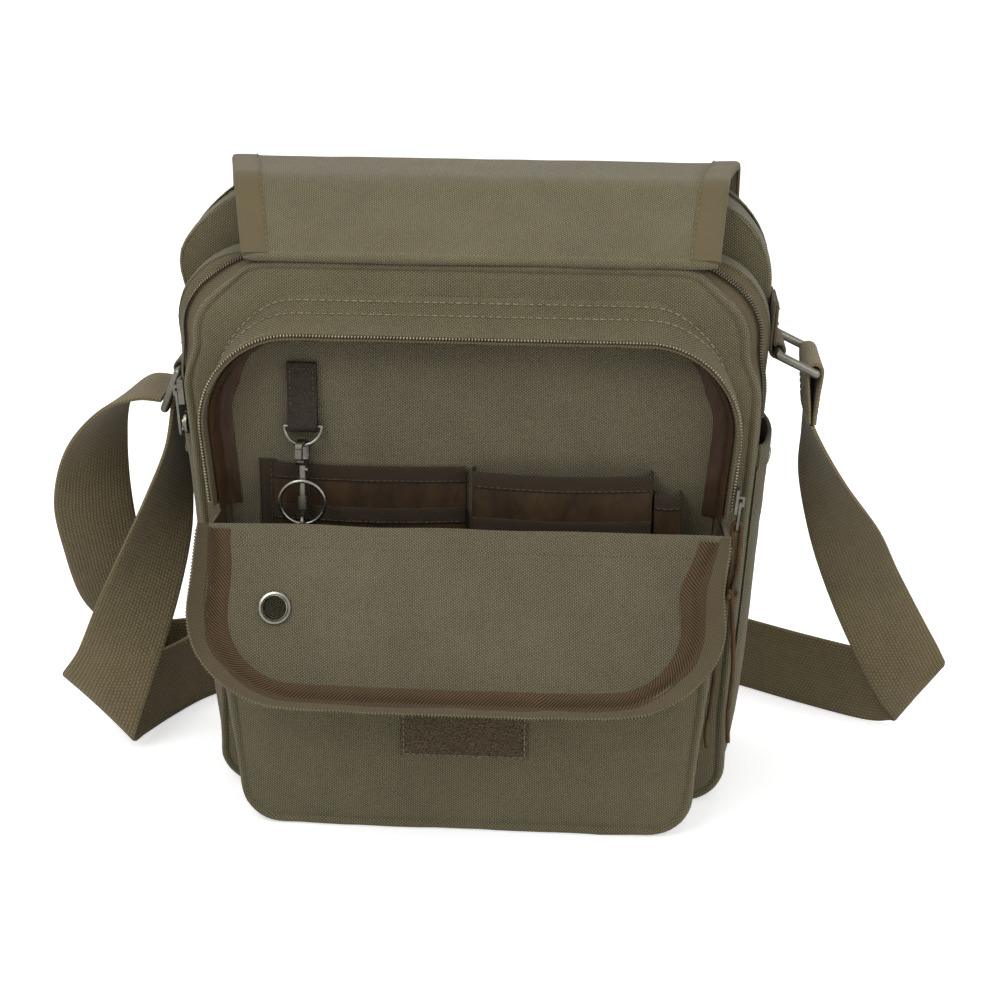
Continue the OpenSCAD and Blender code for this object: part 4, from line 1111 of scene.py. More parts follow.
class BAG_OT_door(bpy.types.Operator):
    """Make the organiser's door: canvas panel, rim, bound inner seam, zip half and fold"""

    bl_idname = "bag.door"
    bl_label = "Organiser door"

    def execute(self, context):
        s = context.scene.bag_sizes
        st = panel_stations(POCKET_Y, -1, 1.2, groove=False, deepest=98)
        split = len(st) - 2
        st += [(-0.1, DOOR_TAPE_Y - 1.8), (0.0, DOOR_TAPE_Y - 0.4)]
        P = fold_middle(loft(POCKET, st))
        P = flared(crumple(P, s.dents * 0.9, 31.0, np.clip((P[..., 2] - FOLD_Z - 6) / 24, 0, 1), ripple=0.1))
        o = cloth("door_cloth", P, 0, uv=shell_uv(P, split), wrap=True)
        bisect_keep(o, (0, 0, FOLD_Z + 4.0), (0, 0, -1))
        wall(o, CANVAS)
        self.cut_hole(o)
        turn_object(o)
        finish_piece(o, "canvas_inner", "door", "canvas", "door_panel", "door_rim")
        # Bound seam inside the rim: a doubled ribbed tape with a crease down its middle
        section = ((1.9, -49.8), (2.3, -50.6), (2.7, -51.6), (2.5, -52.6), (2.4, -53.2), (2.9, -53.9), (4.0, -54.0),
            (5.6, -53.6), (7.4, -54.0), (8.8, -54.5), (9.4, -55.1), (9.0, -55.35))
        P = ring_rows(POCKET, section, FOLD_Z + 2)
        wave = 0.85 * soft_noise(P * np.array([1, 0.4, 1]), 15.0, 5.0) + 0.45 * soft_noise(P, 5.5, 9.0)
        row = np.arange(len(P))
        fade = np.clip(np.minimum(row, len(P) - 1 - row) / 3, 0, 1)[:, None]
        P = flared(P + grid_normals(P) * (wave * fade)[..., None])
        o = cloth("door_binding_tape", P, 0.5, away=(0, -200, 180))
        turn_object(o)
        finish_piece(o, "binding", "door", "binding", "door_binding")
        # Zip half along the rim
        tape = ((0.5, 0.0), (0.3, -1.0), (0.2, -2.6), (0.4, -5), (0.7, -7.4), (1.1, -9.4), (1.4, -10.4))
        P = ring_rows(POCKET, [(inset, SPLIT_Y - 0.3 + dy) for inset, dy in tape], FOLD_Z + 0.6)
        P = flared(P + grid_normals(P) * (0.3 * soft_noise(P, 14.0, 8.0))[..., None])
        o = cloth("door_zip_tape", P, s.tape_t / MM, uv=arc_uv(P)[..., ::-1])
        turn_object(o)
        finish_piece(o, "zip_tape", "door", "zip", "door_zip")
        line, nor = ring_line(POCKET, 0.35, SPLIT_Y - 1.45, FOLD_Z + 4)
        line = flared(line)
        beads = coil_beads(line, nor, 0.0, s.coil_pitch / MM * OPEN_PITCH, rise=0.15, single=1)
        o = copies("door_zip_coil", bead_template(2.7, 0.9, 1.35), turn_places(beads))
        # The darker copy of the organiser zip's coil, painted shade on the door's half.
        finish_piece(o, "dark_coil", "door", "zip", "door_zip")
        # Grommet: two domed rings and a short tube, through the cloth
        t = np.linspace(0, 2 * math.pi, 49)
        profile = ((4.75, -58.8), (4.85, -59.6), (5.2, -60.0), (5.6, -59.8), (5.9, -59.2), (6.8, -59.0), (7.0, -58.6),
            (6.9, -58.3), (5.6, -58.0), (5.6, -55.8), (6.9, -55.2), (7.0, -54.8), (6.8, -54.4), (5.9, -54.2),
            (5.6, -53.6), (5.2, -53.35), (4.85, -53.7), (4.75, -54.4), (4.75, -58.8))
        rows = [np.stack([r * np.cos(t) - 79, np.full(len(t), y), r * np.sin(t) + FOLD_Z + 35], 1) for r,
            y in profile]
        o = cloth("grommet_ring", np.array(rows), 0, away=(-79, -57, FOLD_Z + 35), wrap=True, smooth=50)
        turn_object(o)
        finish_piece(o, "bright_steel", "door", "steel", "grommet", "grommet_washer")
        self.fold()
        return {"FINISHED"}

    def cut_hole(self, o):
        """Opens the cloth under the grommet."""
        clear_selection()
        bpy.ops.mesh.primitive_cylinder_add(vertices=40, radius=5.7 * MM, depth=12 * MM,
            location=(-0.079, POCKET_Y * MM, (FOLD_Z + 35) * MM), rotation=(math.pi / 2, 0, 0))
        cutter = bpy.context.object
        m = o.modifiers.new("hole", "BOOLEAN")
        m.operation = "DIFFERENCE"
        m.solver = "EXACT"
        m.object = cutter
        apply_all(o)
        bpy.data.objects.remove(cutter)

    def fold(self):
        """Cloth round the fold, from the lower front to the door."""
        half = pocket_x(FOLD_Z) - 0.6
        n = 70
        xs = np.linspace(-half, half, n)
        face = POCKET_Y + CANVAS + 0.12 - 1.2 * (1 - np.exp(-np.clip(half - np.abs(xs), 0, 98) / 28))
        rows = []
        for t in np.linspace(0, 1, 17):
            u = 1 - t
            ends = [np.stack([xs, face, np.full(n, FOLD_Z + h)], 1) for h in (-5.4, 3.4)]
            ends += [let_down(np.stack([xs, face, np.full(n, FOLD_Z + h)], 1)) for h in (-3.0, 9.0)]
            p = ends[0] * u ** 3 + ends[1] * 3 * u * u * t + ends[2] * 3 * u * t * t + ends[3] * t ** 3
            p[:, 0] = xs * (1 - t * np.where(xs > 0, 4.2, 3.1) / 105)
            rows.append(p)
        P = np.array(rows)
        crown = 1 - (np.abs(xs) / half) ** 6
        bend = np.sin(np.linspace(0, math.pi, len(rows)))[:, None]
        P[..., 2] += bend * (0.9 * soft_noise(P, 40.0, 3.0) - 0.8 * (1 - crown))
        o = cloth("door_fold", P, 1.3, away=(0, -57, 134))
        a, b = (0, -0.0583, 0.139), (0, -0.0606, 0.139)
        finish_blend(o, "canvas_inner", ("bag", "door"), a, b, "canvas", "door_panel")


# ---------------------------------------------------------------- the inside of the organiser
SLOT_Y, SLOT_PITCH = -23.6, 1.9


def pocket_sheet(name, x0, x1, y, z0, z1, sag, belly, *nodes, seed):
    """Front wall of an inner pocket: sewn down at both sides and the bottom, open and a little slack at the top."""
    n, m = 44, 30
    xs = np.linspace(0, 1, n)
    zs = np.linspace(0, 1, m)
    X, Z = np.meshgrid(xs, zs)
    mid = np.sin(X * math.pi) ** 0.55
    P = np.zeros((m, n, 3))
    P[..., 0] = x0 + (x1 - x0) * X
    P[..., 2] = z0 + (z1 - z0 - sag * np.sin(X * math.pi)) * Z
    P[..., 1] = y - belly * mid * (0.35 + 0.65 * Z)
    amp = 0.55 * np.clip(mid, 0.15, 1)
    P[..., 1] -= amp * (soft_noise(P * np.array([1, 1, 0.5]), 13.0, seed) * 0.7
        + soft_noise(P * np.array([1, 1, 0.4]), 6.0, seed + 3) * 0.35)
    o = cloth(name, P, 0.6, away=(0, 100, 100))
    finish_piece(o, "slot_cloth", "bag", "lining", *nodes)
    return P


def top_binding(P, name, group_name, width=7.0):
    """Ribbed tape folded over the top edge of a sheet, from its grid of points."""
    top = P[-1]
    below = P[-7]
    down = below - top
    down = down / np.linalg.norm(down, axis=1, keepdims=True)
    out = np.array([0, -1.0, 0])
    rows = []
    for dist, lift in ((width, 0.15), (width - 0.5, 0.6), (width * 0.6, 0.65), (width * 0.3, 0.6), (0.6, 0.75),
        (-0.3, 0.5), (-0.55, 0.0), (-0.3, -0.7), (1.0, -0.9), (width * 0.8, -0.95)):
        rows.append(top + down * dist + out * lift)
    B = np.array(rows)
    B = B + (0.12 * soft_noise(B, 5.0, 6.0))[..., None] * out
    o = cloth(name, B, 0.4, away=(0, 60, P[-1, :, 2].mean() - 3), uv=arc_uv(B))
    finish_piece(o, "slot_binding", "bag", "binding", "slot_bindings")
    line = top + down * (width - 1.1) + out * 0.75
    stitch_row(group_name, line[1:-1], (0, -1, 0), 2.7, lift=0.1)
    return o


class BAG_OT_organiser(bpy.types.Operator):
    """Make the organiser's back wall, card slots, phone pocket, pen pocket and bound edges"""

    bl_idname = "bag.organiser"
    bl_label = "Organiser"

    def execute(self, context):
        st = [(i, -23.5) for i in (98, 84, 70, 58, 47, 38, 30, 23, 17, 12, 8)] + [(5.0, -23.3)]
        P = fold_middle(loft(POCKET, st))
        P = crumple(P, 0.35, 41.0)
        P[..., 1] = np.minimum(P[..., 1], -22.9)
        o = cloth("organiser_wall", P, 0.9, away=(0, 300, 100), uv=along_panel(P), wrap=True)
        finish_piece(o, "canvas_inner", "bag", "canvas", "organiser_panel")
        # Left card slots, three steps
        for i in (2, 1, 0):
            y = SLOT_Y - i * SLOT_PITCH - 1.45
            P = pocket_sheet(f"card_slot_left_{i + 1}", -86.4, -2.0, y, 62.5, 160 - i * 18, 0.9 + 0.5 * i, 0.35,
                "card_slots_left", seed=3.0 + i)
            top_binding(P, f"card_binding_left_{i + 1}", "organiser")
        # Phone pocket, with its depth closed by gussets at the sides
        y = SLOT_Y - 9.5 - 0.6
        P = pocket_sheet("phone_pocket_front", 1.6, 78.4, y, 62.5, 161, 1.4, 0.4, "phone_pocket", "card_slots_right",
            seed=9.0)
        top_binding(P, "phone_binding", "organiser")
        for i in (2, 1):
            y = SLOT_Y - 10.5 - i * SLOT_PITCH + 0.45
            P = pocket_sheet(f"card_slot_right_{i}", 1.8, 78.2, y, 62.5, 159 - i * 18, 0.9 + 0.4 * i, 0.35,
                "card_slots_right", seed=13.0 + i)
            top_binding(P, f"card_binding_right_{i}", "organiser")
        for name, x, lean in (("left", 1.3, -1), ("right", 78.7, 1)):
            self.side_gusset("phone_side_" + name, x, lean, 62.5, 160.6, -23.5, -34.2, "phone_pocket")
        # Pen pocket
        P = pocket_sheet("pen_pocket_front", 79.9, 91.4, SLOT_Y - 9.5, 62.5, 152, 0.5, 0.4, "pen_pocket", seed=19.0)
        top_binding(P, "pen_binding", "organiser", 6.0)
        for name, x, lean in (("left", 79.8, -1), ("right", 91.6, 1)):
            self.side_gusset("pen_side_" + name, x, lean, 62.5, 151.6, -23.5, -33.0, "pen_pocket")
        # Upright binding at the left end of the card slots
        n = 60
        z = np.linspace(62, 161.5, n)
        rows = []
        for x, y in ((-93.0, -23.5), (-92.2, -24.3), (-90.2, -24.75), (-88.6, -24.7), (-86.2, -24.9), (-85.2, -24.6)):
            rows.append(np.stack([np.full(n, x) + 0.3 * np.sin(z / 11), np.full(n, y), z], 1))
        P = np.array(rows)
        P[..., 1] -= 0.25 * soft_noise(P, 7.0, 2.0)
        o = cloth("slot_end_binding", P, 0.5, away=(0, 60, 100), uv=arc_uv(P)[..., ::-1])
        finish_piece(o, "slot_binding", "bag", "binding", "slot_bindings")
        for x in (-92.4, -87.2):
            stitch_row("organiser", np.array([[x, -25.0, 63], [x, -25.0, 161]]), (0, -1, 0), 2.8, lift=0.1)
        sew_dark = copies("organiser_thread", bead_template(2.2, 0.6, 0.5), STITCH["organiser"])
        finish_piece(sew_dark, "dark_thread", "bag", "lining")
        return {"FINISHED"}

    def side_gusset(self, name, x, lean, z0, z1, y0, y1, node):
        """Slack side of a deep pocket, folded a little outwards."""
        n, m = 12, 30
        Y, Z = np.meshgrid(np.linspace(0, 1, n), np.linspace(0, 1, m))
        P = np.zeros((m, n, 3))
        P[..., 0] = x + lean * (0.5 * np.sin(Y * math.pi) * (0.4 + 0.6 * Z)) - lean * 0.1
        P[..., 1] = y0 + (y1 - y0) * Y
        P[..., 2] = z0 + (z1 - z0) * Z
        P[..., 0] += 0.25 * soft_noise(P, 9.0, x)
        o = cloth(name, P, 0.5, away=(40 if x < 79 else 85, -28, 110))
        finish_piece(o, "slot_cloth", "bag", "lining", node)


class BAG_OT_leash(bpy.types.Operator):
    """Make the leather tab that holds the key ring's D ring"""

    bl_idname = "bag.leash"
    bl_label = "Key tab"

    def execute(self, context):
        x0, w = -72.5, 13.0
        ty, tz = -26.4, 177.5
        r = 2.55
        path = [(-23.9, 205.4), (-23.9, 199), (-23.95, 191), (-24.0, 184), (-23.95, tz + 1.0)]
        for k in range(9):
            a = math.radians(-k * 180 / 8)
            path.append((ty + r * math.cos(a), tz + r * math.sin(a)))
        path += [(-28.7, tz + 3.0), (-27.9, tz + 6.5), (-27.2, tz + 10), (-27.0, tz + 16), (-27.0, tz + 22),
            (-26.9, 205.0), (-26.2, 205.9), (-25.0, 206.1), (-24.2, 205.9)]
        n = 15
        rows = []
        for y, z in path:
            rows.append([(x0 + w * (k / (n - 1) - 0.5), y, z) for k in range(n)])
        P = np.array(rows)
        across = np.abs(np.linspace(-1, 1, n)) ** 8
        P[..., 1] += 0.15 * across * np.where(P[..., 1] < ty, 1, -1)
        o = cloth("key_tab_leather", P, 1.3, away=(-72.5, -25.6, 190), bevel=0.35)
        finish_piece(o, "leather", "bag", "leather", "key_tab")
        front = -27.05
        for pts in ([(-77.5, 203.4), (-77.5, 184.0)], [(-67.5, 203.4), (-67.5, 184.0)],
            [(-77.5, 203.6), (-67.5, 203.6)], [(-77.5, 184.0), (-67.5, 184.0)]):
            stitch_row("tab", np.array([(x, front, z) for x, z in pts]), (0, -1, 0), 2.4, lift=0.12)
        o = copies("tab_thread", bead_template(1.7, 0.5, 0.5), STITCH["tab"])
        finish_piece(o, "dark_thread", "bag", "leather")
        return {"FINISHED"}


# ---------------------------------------------------------------- the flap, thrown back over the top
HINGE = np.array([-22.9, 251.2])
TOP_Z = 278.2
FRONT_RUN = math.hypot(34.9, 27.0)
TOP_RUN = 47.4
TAIL_RUN = 147.0
SEAM_REACH = 6.5
FLAP_INSIDE = (0, 20, 180)


def flap_half(s):
    return 97 + 18 * min(max(s, 0) / (FRONT_RUN + TOP_RUN), 1)


def flap_spine(s):
    """Middle of the flap's section after a length from the front seam, with rounded bends: y, z."""

    def sharp(t):
        if t < FRONT_RUN:
            k = t / FRONT_RUN
            return np.array([HINGE[0] + 34.9 * k, HINGE[1] + 27.0 * k])
        t -= FRONT_RUN
        if t < TOP_RUN:
            return np.array([12 + t, TOP_Z])
        return np.array([59.4, TOP_Z - (t - TOP_RUN)])

    def rounded(t, r):
        return sum(sharp(t + d) * w for d, w in ((-r, 1), (-r * 0.66, 2), (-r * 0.33, 3), (0, 3), (r * 0.33, 3),
            (r * 0.66, 2), (r, 1))) / 15

    if s < 4:
        return sharp(s)
    return rounded(s, 6.5 if s < FRONT_RUN + 20 else 4.5)


def flap_grid(s0, s1, n, lift=0.0, m=66, sides=None):
    """Points of the flap between two lengths, lifted from its middle. Sides gives its columns from the half width."""
    S = np.linspace(s0, s1, n)
    if sides is not None:
        m = len(sides(100.0))
    P = np.zeros((n, m, 3))
    for k, s in enumerate(S):
        a, b = flap_spine(s - 0.5), flap_spine(s + 0.5)
        t = unit(b - a)
        nrm = np.array([-t[1], t[0]])
        p = flap_spine(s) + nrm * lift
        h = flap_half(s)
        x = np.linspace(-h, h, m) if sides is None else sides(h)
        x = x + SEAM_REACH * np.clip(x / h, 0, 1) * min(max(1 - s / (FRONT_RUN + 20), 0), 1)
        P[k, :, 0] = x
        P[k, :, 1] = p[0]
        P[k, :, 2] = p[1]
    return P


def flap_wave(P, seed=50.0):
    """Gentle dents of the flap, none at the front seam."""
    n = grid_normals(P)
    s = 0.55 * soft_noise(P, 48.0, seed) + 0.25 * soft_noise(P, 20.0, seed + 4)
    near = np.clip((P[..., 1] - HINGE[0]) / 8, 0.1, 1)
    return P + n * (s * near)[..., None]


class BAG_OT_flap(bpy.types.Operator):
    """Make the flap in three joined stretches, with bound sides and the hook strip"""

    bl_idname = "bag.flap"
    bl_label = "Flap"

    def execute(self, context):
        s = context.scene.bag_sizes
        half_front = 20.0
        half_top = FRONT_RUN + 26.0
        end = FRONT_RUN + TOP_RUN + TAIL_RUN
        cuts = (
            ("flap_seam_cloth", 0.8, half_front, 12, ("bag", "flap_front"), (0, -0.0229, 0.2512),
                (0, -0.0185, 0.2546), ("flap_front",)),
            ("flap_front_cloth", half_front, half_top, 36, ("flap_front", "flap_top"), (0, 0.0068, 0.2752),
                (0, 0.0175, 0.2790), ("flap_front", "flap_top")),
            ("flap_tail_cloth", half_top, end, 76, ("flap_top", "flap_tail"), (0, 0.0545, 0.2790),
                (0, 0.0600, 0.2735), ("flap_top", "flap_tail")),
        )
        for name, s0, s1, n, bodies, a, b, nodes in cuts:
            P = flap_wave(flap_grid(s0, s1, n, 1.2))
            self.make(name, P, 2.2, "canvas", "canvas", bodies, a, b, nodes)
            for side, sign in (("left", -1), ("right", 1)):
                def sides(h, sign=sign):
                    return sign * (h - np.array([12.3, 11.9, 11.2, 9, 6.5, 4, 2, 0.8, 0.1, -0.35, -0.4, -0.1, 0.7]))

                lifts = np.array([1.0, 1.55, 1.85, 1.95, 2.0, 2.0, 1.95, 1.8, 1.4, 0.6, -0.4, -1.2, -1.5])
                G = np.array([flap_grid(s0, s1, n, l, sides=sides)[:, k] for k, l in enumerate(lifts)]).transpose(1,
                    0, 2)
                base = flap_grid(s0, s1, n, 1.2, sides=sides)
                G = G + (flap_wave(base) - base)
                G = G + grid_normals(G) * (0.12 * soft_noise(G, 8.0, 3.0))[..., None]
                self.make(f"{name.replace('cloth', 'hem')}_{side}", G, 0.7, "hem", "flap_edge", bodies, a, b,
                    (nodes[-1] + "_edges",))
                seam = G[:, 2]
                out = np.cross(np.gradient(seam, axis=0), np.array([1.0, 0, 0]))
                out = out / np.linalg.norm(out, axis=1, keepdims=True)
                if (out * (seam - np.array(FLAP_INSIDE))).sum() < 0:
                    out = -out
                stitch_row(name, seam, out, s.stitch / MM, lift=0.15)
            o = copies(name.replace("cloth", "thread"), bead_template(2.6, 0.6, 0.5), STITCH[name])
            finish_blend(o, "hem_thread", bodies, a, b, "flap_edge")
        # Welt that closes the seam between the flap and the front panel
        xs = np.linspace(-96.6, 96.6 + SEAM_REACH, 70)
        end_in = np.clip((np.minimum(xs + 96.6, 96.6 + SEAM_REACH - xs)) / 5, 0.15, 1) ** 0.5
        rows = []
        for y, z in ((-21.0, 249.4), (-22.6, 249.1), (-23.9, 249.6), (-24.6, 250.7), (-24.5, 251.8), (-23.7, 252.8),
            (-22.3, 253.4), (-20.9, 253.8)):
            rows.append(np.stack([xs, -22.4 + (y + 22.4) * end_in, 250.6 + (z - 250.6) * end_in], 1))
        P = np.array(rows)
        P = P + grid_normals(P) * (0.3 * soft_noise(P, 26.0, 3.0) + 0.12 * soft_noise(P, 7.0, 5.0))[..., None]
        o = cloth("flap_welt", P, 0.8, away=(0, -20, 250.6))
        finish_piece(o, "canvas", "bag", "canvas", "flap_front")
        # Hem across the tail's end
        m = 60
        rows = []
        for d, l in ((12.3, 1.0), (11.6, 1.7), (9, 1.95), (5, 2.0), (1.5, 1.95), (0.1, 1.5), (-0.4, 0.5),
            (-0.3, -0.6), (0.5, -1.3), (1.2, -1.5)):
            rows.append(flap_grid(end - d, end - d + 0.01, 2, l, m=m)[0])
        P = np.array(rows)
        P[..., 0] *= 0.985
        o = cloth("flap_tail_end_hem", P, 0.7, away=FLAP_INSIDE)
        finish_piece(o, "hem", "flap_tail", "flap_edge", "flap_tail_edges")
        stitch_row("tail_end", flap_grid(end - 11, end - 10.99, 2, 2.0, m=m)[0] * np.array([0.9, 1, 1]), (0, 1, 0),
            s.stitch / MM, lift=0.2)
        # Hook strip near the tail's end
        hook_pad(end - 37.0, end - 14.0)
        o = copies("tail_thread", bead_template(2.6, 0.6, 0.5), STITCH["tail_end"])
        finish_piece(o, "thread", "flap_tail", "flap_edge")
        return {"FINISHED"}

    def make(self, name, P, thick, material, slot, bodies, a, b, nodes):
        """Makes one stretch of the flap."""
        finish_blend(cloth(name, P, thick, away=FLAP_INSIDE), material, bodies, a, b, slot, *nodes)


def hook_pad(s0, s1):
    """The hook strip on the tail."""
    y = 59.4 + 1.2
    n, m = 24, 60
    z0, z1 = TOP_Z - (s1 - FRONT_RUN - TOP_RUN), TOP_Z - (s0 - FRONT_RUN - TOP_RUN)
    P = strip_points(y, 1, z0, z1, n, m)
    o = cloth("hook_pad", P, 0.9, away=(0, 0, z0))
    finish_piece(o, "hooks", "flap_tail", "closure", "hook_strip")
    for z in (z0 + 1.8, z1 - 1.8):
        stitch_row("tail_end", np.array([[-26, y + 1.3, z], [26, y + 1.3, z]]), (0, 1, 0), 3.0, lift=0.1)


def strip_points(y, sense, z0, z1, n, m):
    """Slightly crowned strip of hook or loop tape."""
    X, Z = np.meshgrid(np.linspace(-28, 28, m), np.linspace(z0, z1, n))
    edge = np.minimum(np.minimum(28 - np.abs(X), Z - z0), z1 - Z)
    P = np.stack([X, y + sense * (0.25 + 0.95 * np.clip(edge / 1.2, 0, 1) ** 0.5), Z], 2)
    P[..., 1] += sense * 0.18 * soft_noise(P, 3.2, 4.0)
    return P


class BAG_OT_loop_pad(bpy.types.Operator):
    """Make the loop strip on the organiser's lower front"""

    bl_idname = "bag.loop_pad"
    bl_label = "Loop strip"

    def execute(self, context):
        P = strip_points(POCKET_Y - 1.4, -1, 37.0, 60.0, 30, 70)
        o = cloth("loop_pad", P, 0.9, away=(0, 0, 48))
        finish_piece(o, "pile", "bag", "closure", "loop_strip")
        y = POCKET_Y - 2.75
        for pts in ([(-26.5, 38.6), (26.5, 38.6)], [(-26.5, 58.4), (26.5, 58.4)], [(-26.5, 38.6), (-26.5, 58.4)],
            [(26.5, 38.6), (26.5, 58.4)]):
            stitch_row("loop", np.array([(x, y, z) for x, z in pts]), (0, -1, 0), 3.0)
        o = copies("loop_thread", bead_template(2.2, 0.5, 0.45), STITCH["loop"])
        finish_piece(o, "thread", "bag", "closure")
        return {"FINISHED"}


# ---------------------------------------------------------------- shoulder strap
STRAP_W, STRAP_T = 38.0, 2.0
LONG_ROUTE = (
    ((148, 15.5, 175.4), (0, -1, 0)),
    ((151.5, 17, 162), (0.2, -0.98, 0)),
    ((157, 22, 142), (0.5, -0.86, 0.1)),
    ((169, 31, 114), (0.78, -0.58, 0.25)),
    ((180, 41, 87), (0.84, -0.4, 0.36)),
    ((194, 48, 58), (0.87, -0.25, 0.45)),
    ((207, 50, 34), (0.7, -0.3, 0.8)),
    ((213, 53, 23), (0.5, -0.4, 0.98)),
    ((206, 60, 21.5), (0.2, -0.2, 1.02)),
    ((190, 67, 19.6), (0, 0, 1)),
    ((160, 84, 19.3), (0, 0, 1)),
    ((125, 106, 19.3), (0, 0, 1)),
    ((90, 124, 20.5), (0, 0, 1)),
    ((66, 132, 22.5), (0, 0, 1)),
    ((58, 132, 22.5), (0, 0, 1)),
    ((0, 132, 22.5), (0, 0, 1)),
    ((-8, 132, 22.5), (0, 0, 1)),
    ((-50, 124, 20.5), (0, 0, 1)),
    ((-85, 109, 19.6), (0, 0, 1)),
    ((-118, 89, 19.3), (0, 0, 1)),
    ((-140, 68, 19.3), (0, 0, 1)),
    ((-153, 46, 19.3), (0, 0, 1)),
    ((-165, 24, 20.5), (-0.2, 0, 1)),
    ((-178, 13, 21.5), (-0.75, 0.2, 0.92)),
    ((-179, 6, 26), (-0.9, 0, 0.75)),
    ((-170, 5, 46), (-0.9, -0.1, 0.42)),
    ((-158, 6, 78), (-0.9, -0.4, 0.15)),
    ((-148, 9, 108), (-0.72, -0.7, 0)),
    ((-141, 12, 136), (-0.36, -0.93, 0)),
    ((-136.5, 14.5, 158), (-0.1, -0.99, 0)),
    ((-134.7, 15.5, 176.6), (0, -1, 0)),
)
SHORT_ROUTE = (
    ((-139.7, 15.5, 180.1), (0, 1, 0)),
    ((-152, 16, 180.2), (0, 1, 0)),
    ((-166, 18, 171), (0.15, 0.98, -0.1)),
    ((-177, 23, 149), (0.55, 0.83, -0.15)),
    ((-182, 29, 120), (0.87, 0.48, -0.1)),
    ((-181, 38, 90), (0.97, 0.2, -0.05)),
    ((-178, 49, 60), (0.98, 0.1, -0.15)),
    ((-174, 61, 33), (0.78, 0.1, -0.7)),
    ((-167, 70, 22.5), (0.35, 0.1, -0.98)),
    ((-148, 81, 19.5), (0, 0, -1)),
    ((-124, 97, 19.3), (0, 0, -1)),
    ((-88, 117, 19.6), (0, 0, -1)),
    ((-50, 131, 21), (0, 0, -1)),
    ((-10, 135.2, 22.5), (0, 0, -1)),
    ((6.4, 135.3, 22.5), (0, 0, -1)),
)


def stations(route, k, steps):
    r = [np.array(p[k], float) for p in route]
    n = len(r)
    out = []
    for i in range(n - 1):
        a, b, c, d = r[max(i - 1, 0)], r[i], r[i + 1], r[min(i + 2, n - 1)]
        for j in range(steps):
            t = j / steps
            out.append((2 * b + (c - a) * t + (2 * a - 5 * b + 4 * c - d) * t * t
                + (3 * b - a - 3 * c + d) * t ** 3) / 2)
    out.append(r[-1])
    return np.array(out)


def ribbon_section():
    """Section of the webbing: across from -1 to 1 and through from -1 to 1, going round."""
    pts = []
    for x in np.linspace(-0.965, 0.965, 15):
        pts.append((x, 1 - 0.12 * abs(x) ** 6))
    pts += [(0.99, 0.55), (1.0, 0.0), (0.99, -0.55)]
    for x in np.linspace(0.965, -0.965, 15):
        pts.append((x, -1 + 0.12 * abs(x) ** 6))
    pts += [(-0.99, -0.55), (-1.0, 0.0), (-0.99, 0.55)]
    return pts + [pts[0]]


def webbing(name, mid, half, body, slot, material="webbing", nodes=(), width=STRAP_W, thick=STRAP_T, seed=0.0,
    blend=None):
    """Flat webbing swept along a line of middles with half-width directions, from back to front where half is None.
    With blend the piece gets no body, and blend's points in millimetres are not used."""
    if half is None:
        half = np.tile(np.array([0.0, -1.0, 0.0]), (len(mid), 1))
    n = len(mid)
    along = np.gradient(mid, axis=0)
    h = half * (width / 2)
    face = np.cross(along, h)
    face = face / np.linalg.norm(face, axis=1, keepdims=True)
    length = np.concatenate([[0], np.cumsum(np.linalg.norm(np.diff(mid, axis=0), axis=1))])
    wob = 0.35 * soft_noise(mid, 30.0, seed)
    rows = []
    uvs = []
    sec = ribbon_section()
    around = 0.0
    last = None
    for x, t in sec:
        lift = face * (t * thick / 2) + face * (wob * (1 - x * x))[:, None]
        rows.append(mid + h * x + lift)
        if last is not None:
            around += math.hypot((x - last[0]) * width / 2, (t - last[1]) * thick / 2)
        last = (x, t)
        uvs.append(np.stack([np.full(n, around), length], 1) * MM)
    P = np.array(rows)
    uv = np.array(uvs)
    o = cloth(name, P, 0, away=(0, 0, 0), uv=uv)
    only(o)
    bpy.ops.object.mode_set(mode="EDIT")
    bpy.ops.mesh.select_all(action="SELECT")
    bpy.ops.mesh.remove_doubles(threshold=0.00002)
    bpy.ops.mesh.select_all(action="DESELECT")
    bpy.ops.mesh.select_mode(type="EDGE")
    bpy.ops.mesh.select_non_manifold(extend=False, use_wire=False, use_multi_face=False, use_non_contiguous=False,
        use_verts=False)
    bpy.ops.mesh.edge_face_add()
    bpy.ops.mesh.select_all(action="SELECT")
    bpy.ops.mesh.normals_make_consistent(inside=False)
    bpy.ops.object.mode_set(mode="OBJECT")
    bpy.ops.object.shade_smooth_by_angle(angle=math.radians(50))
    if blend is None:
        return finish_piece(o, material, body, slot, *nodes)
    a, b = [tuple(v * MM for v in p) for p in blend]
    return finish_blend(o, material, ("bag", body), a, b, slot, *nodes)


def arc_path(cx, cz, r, a0, a1, n, y):
    return [np.array([cx + r * math.cos(math.radians(a)), y, cz
        + r * math.sin(math.radians(a))]) for a in np.linspace(a0, a1, n)]


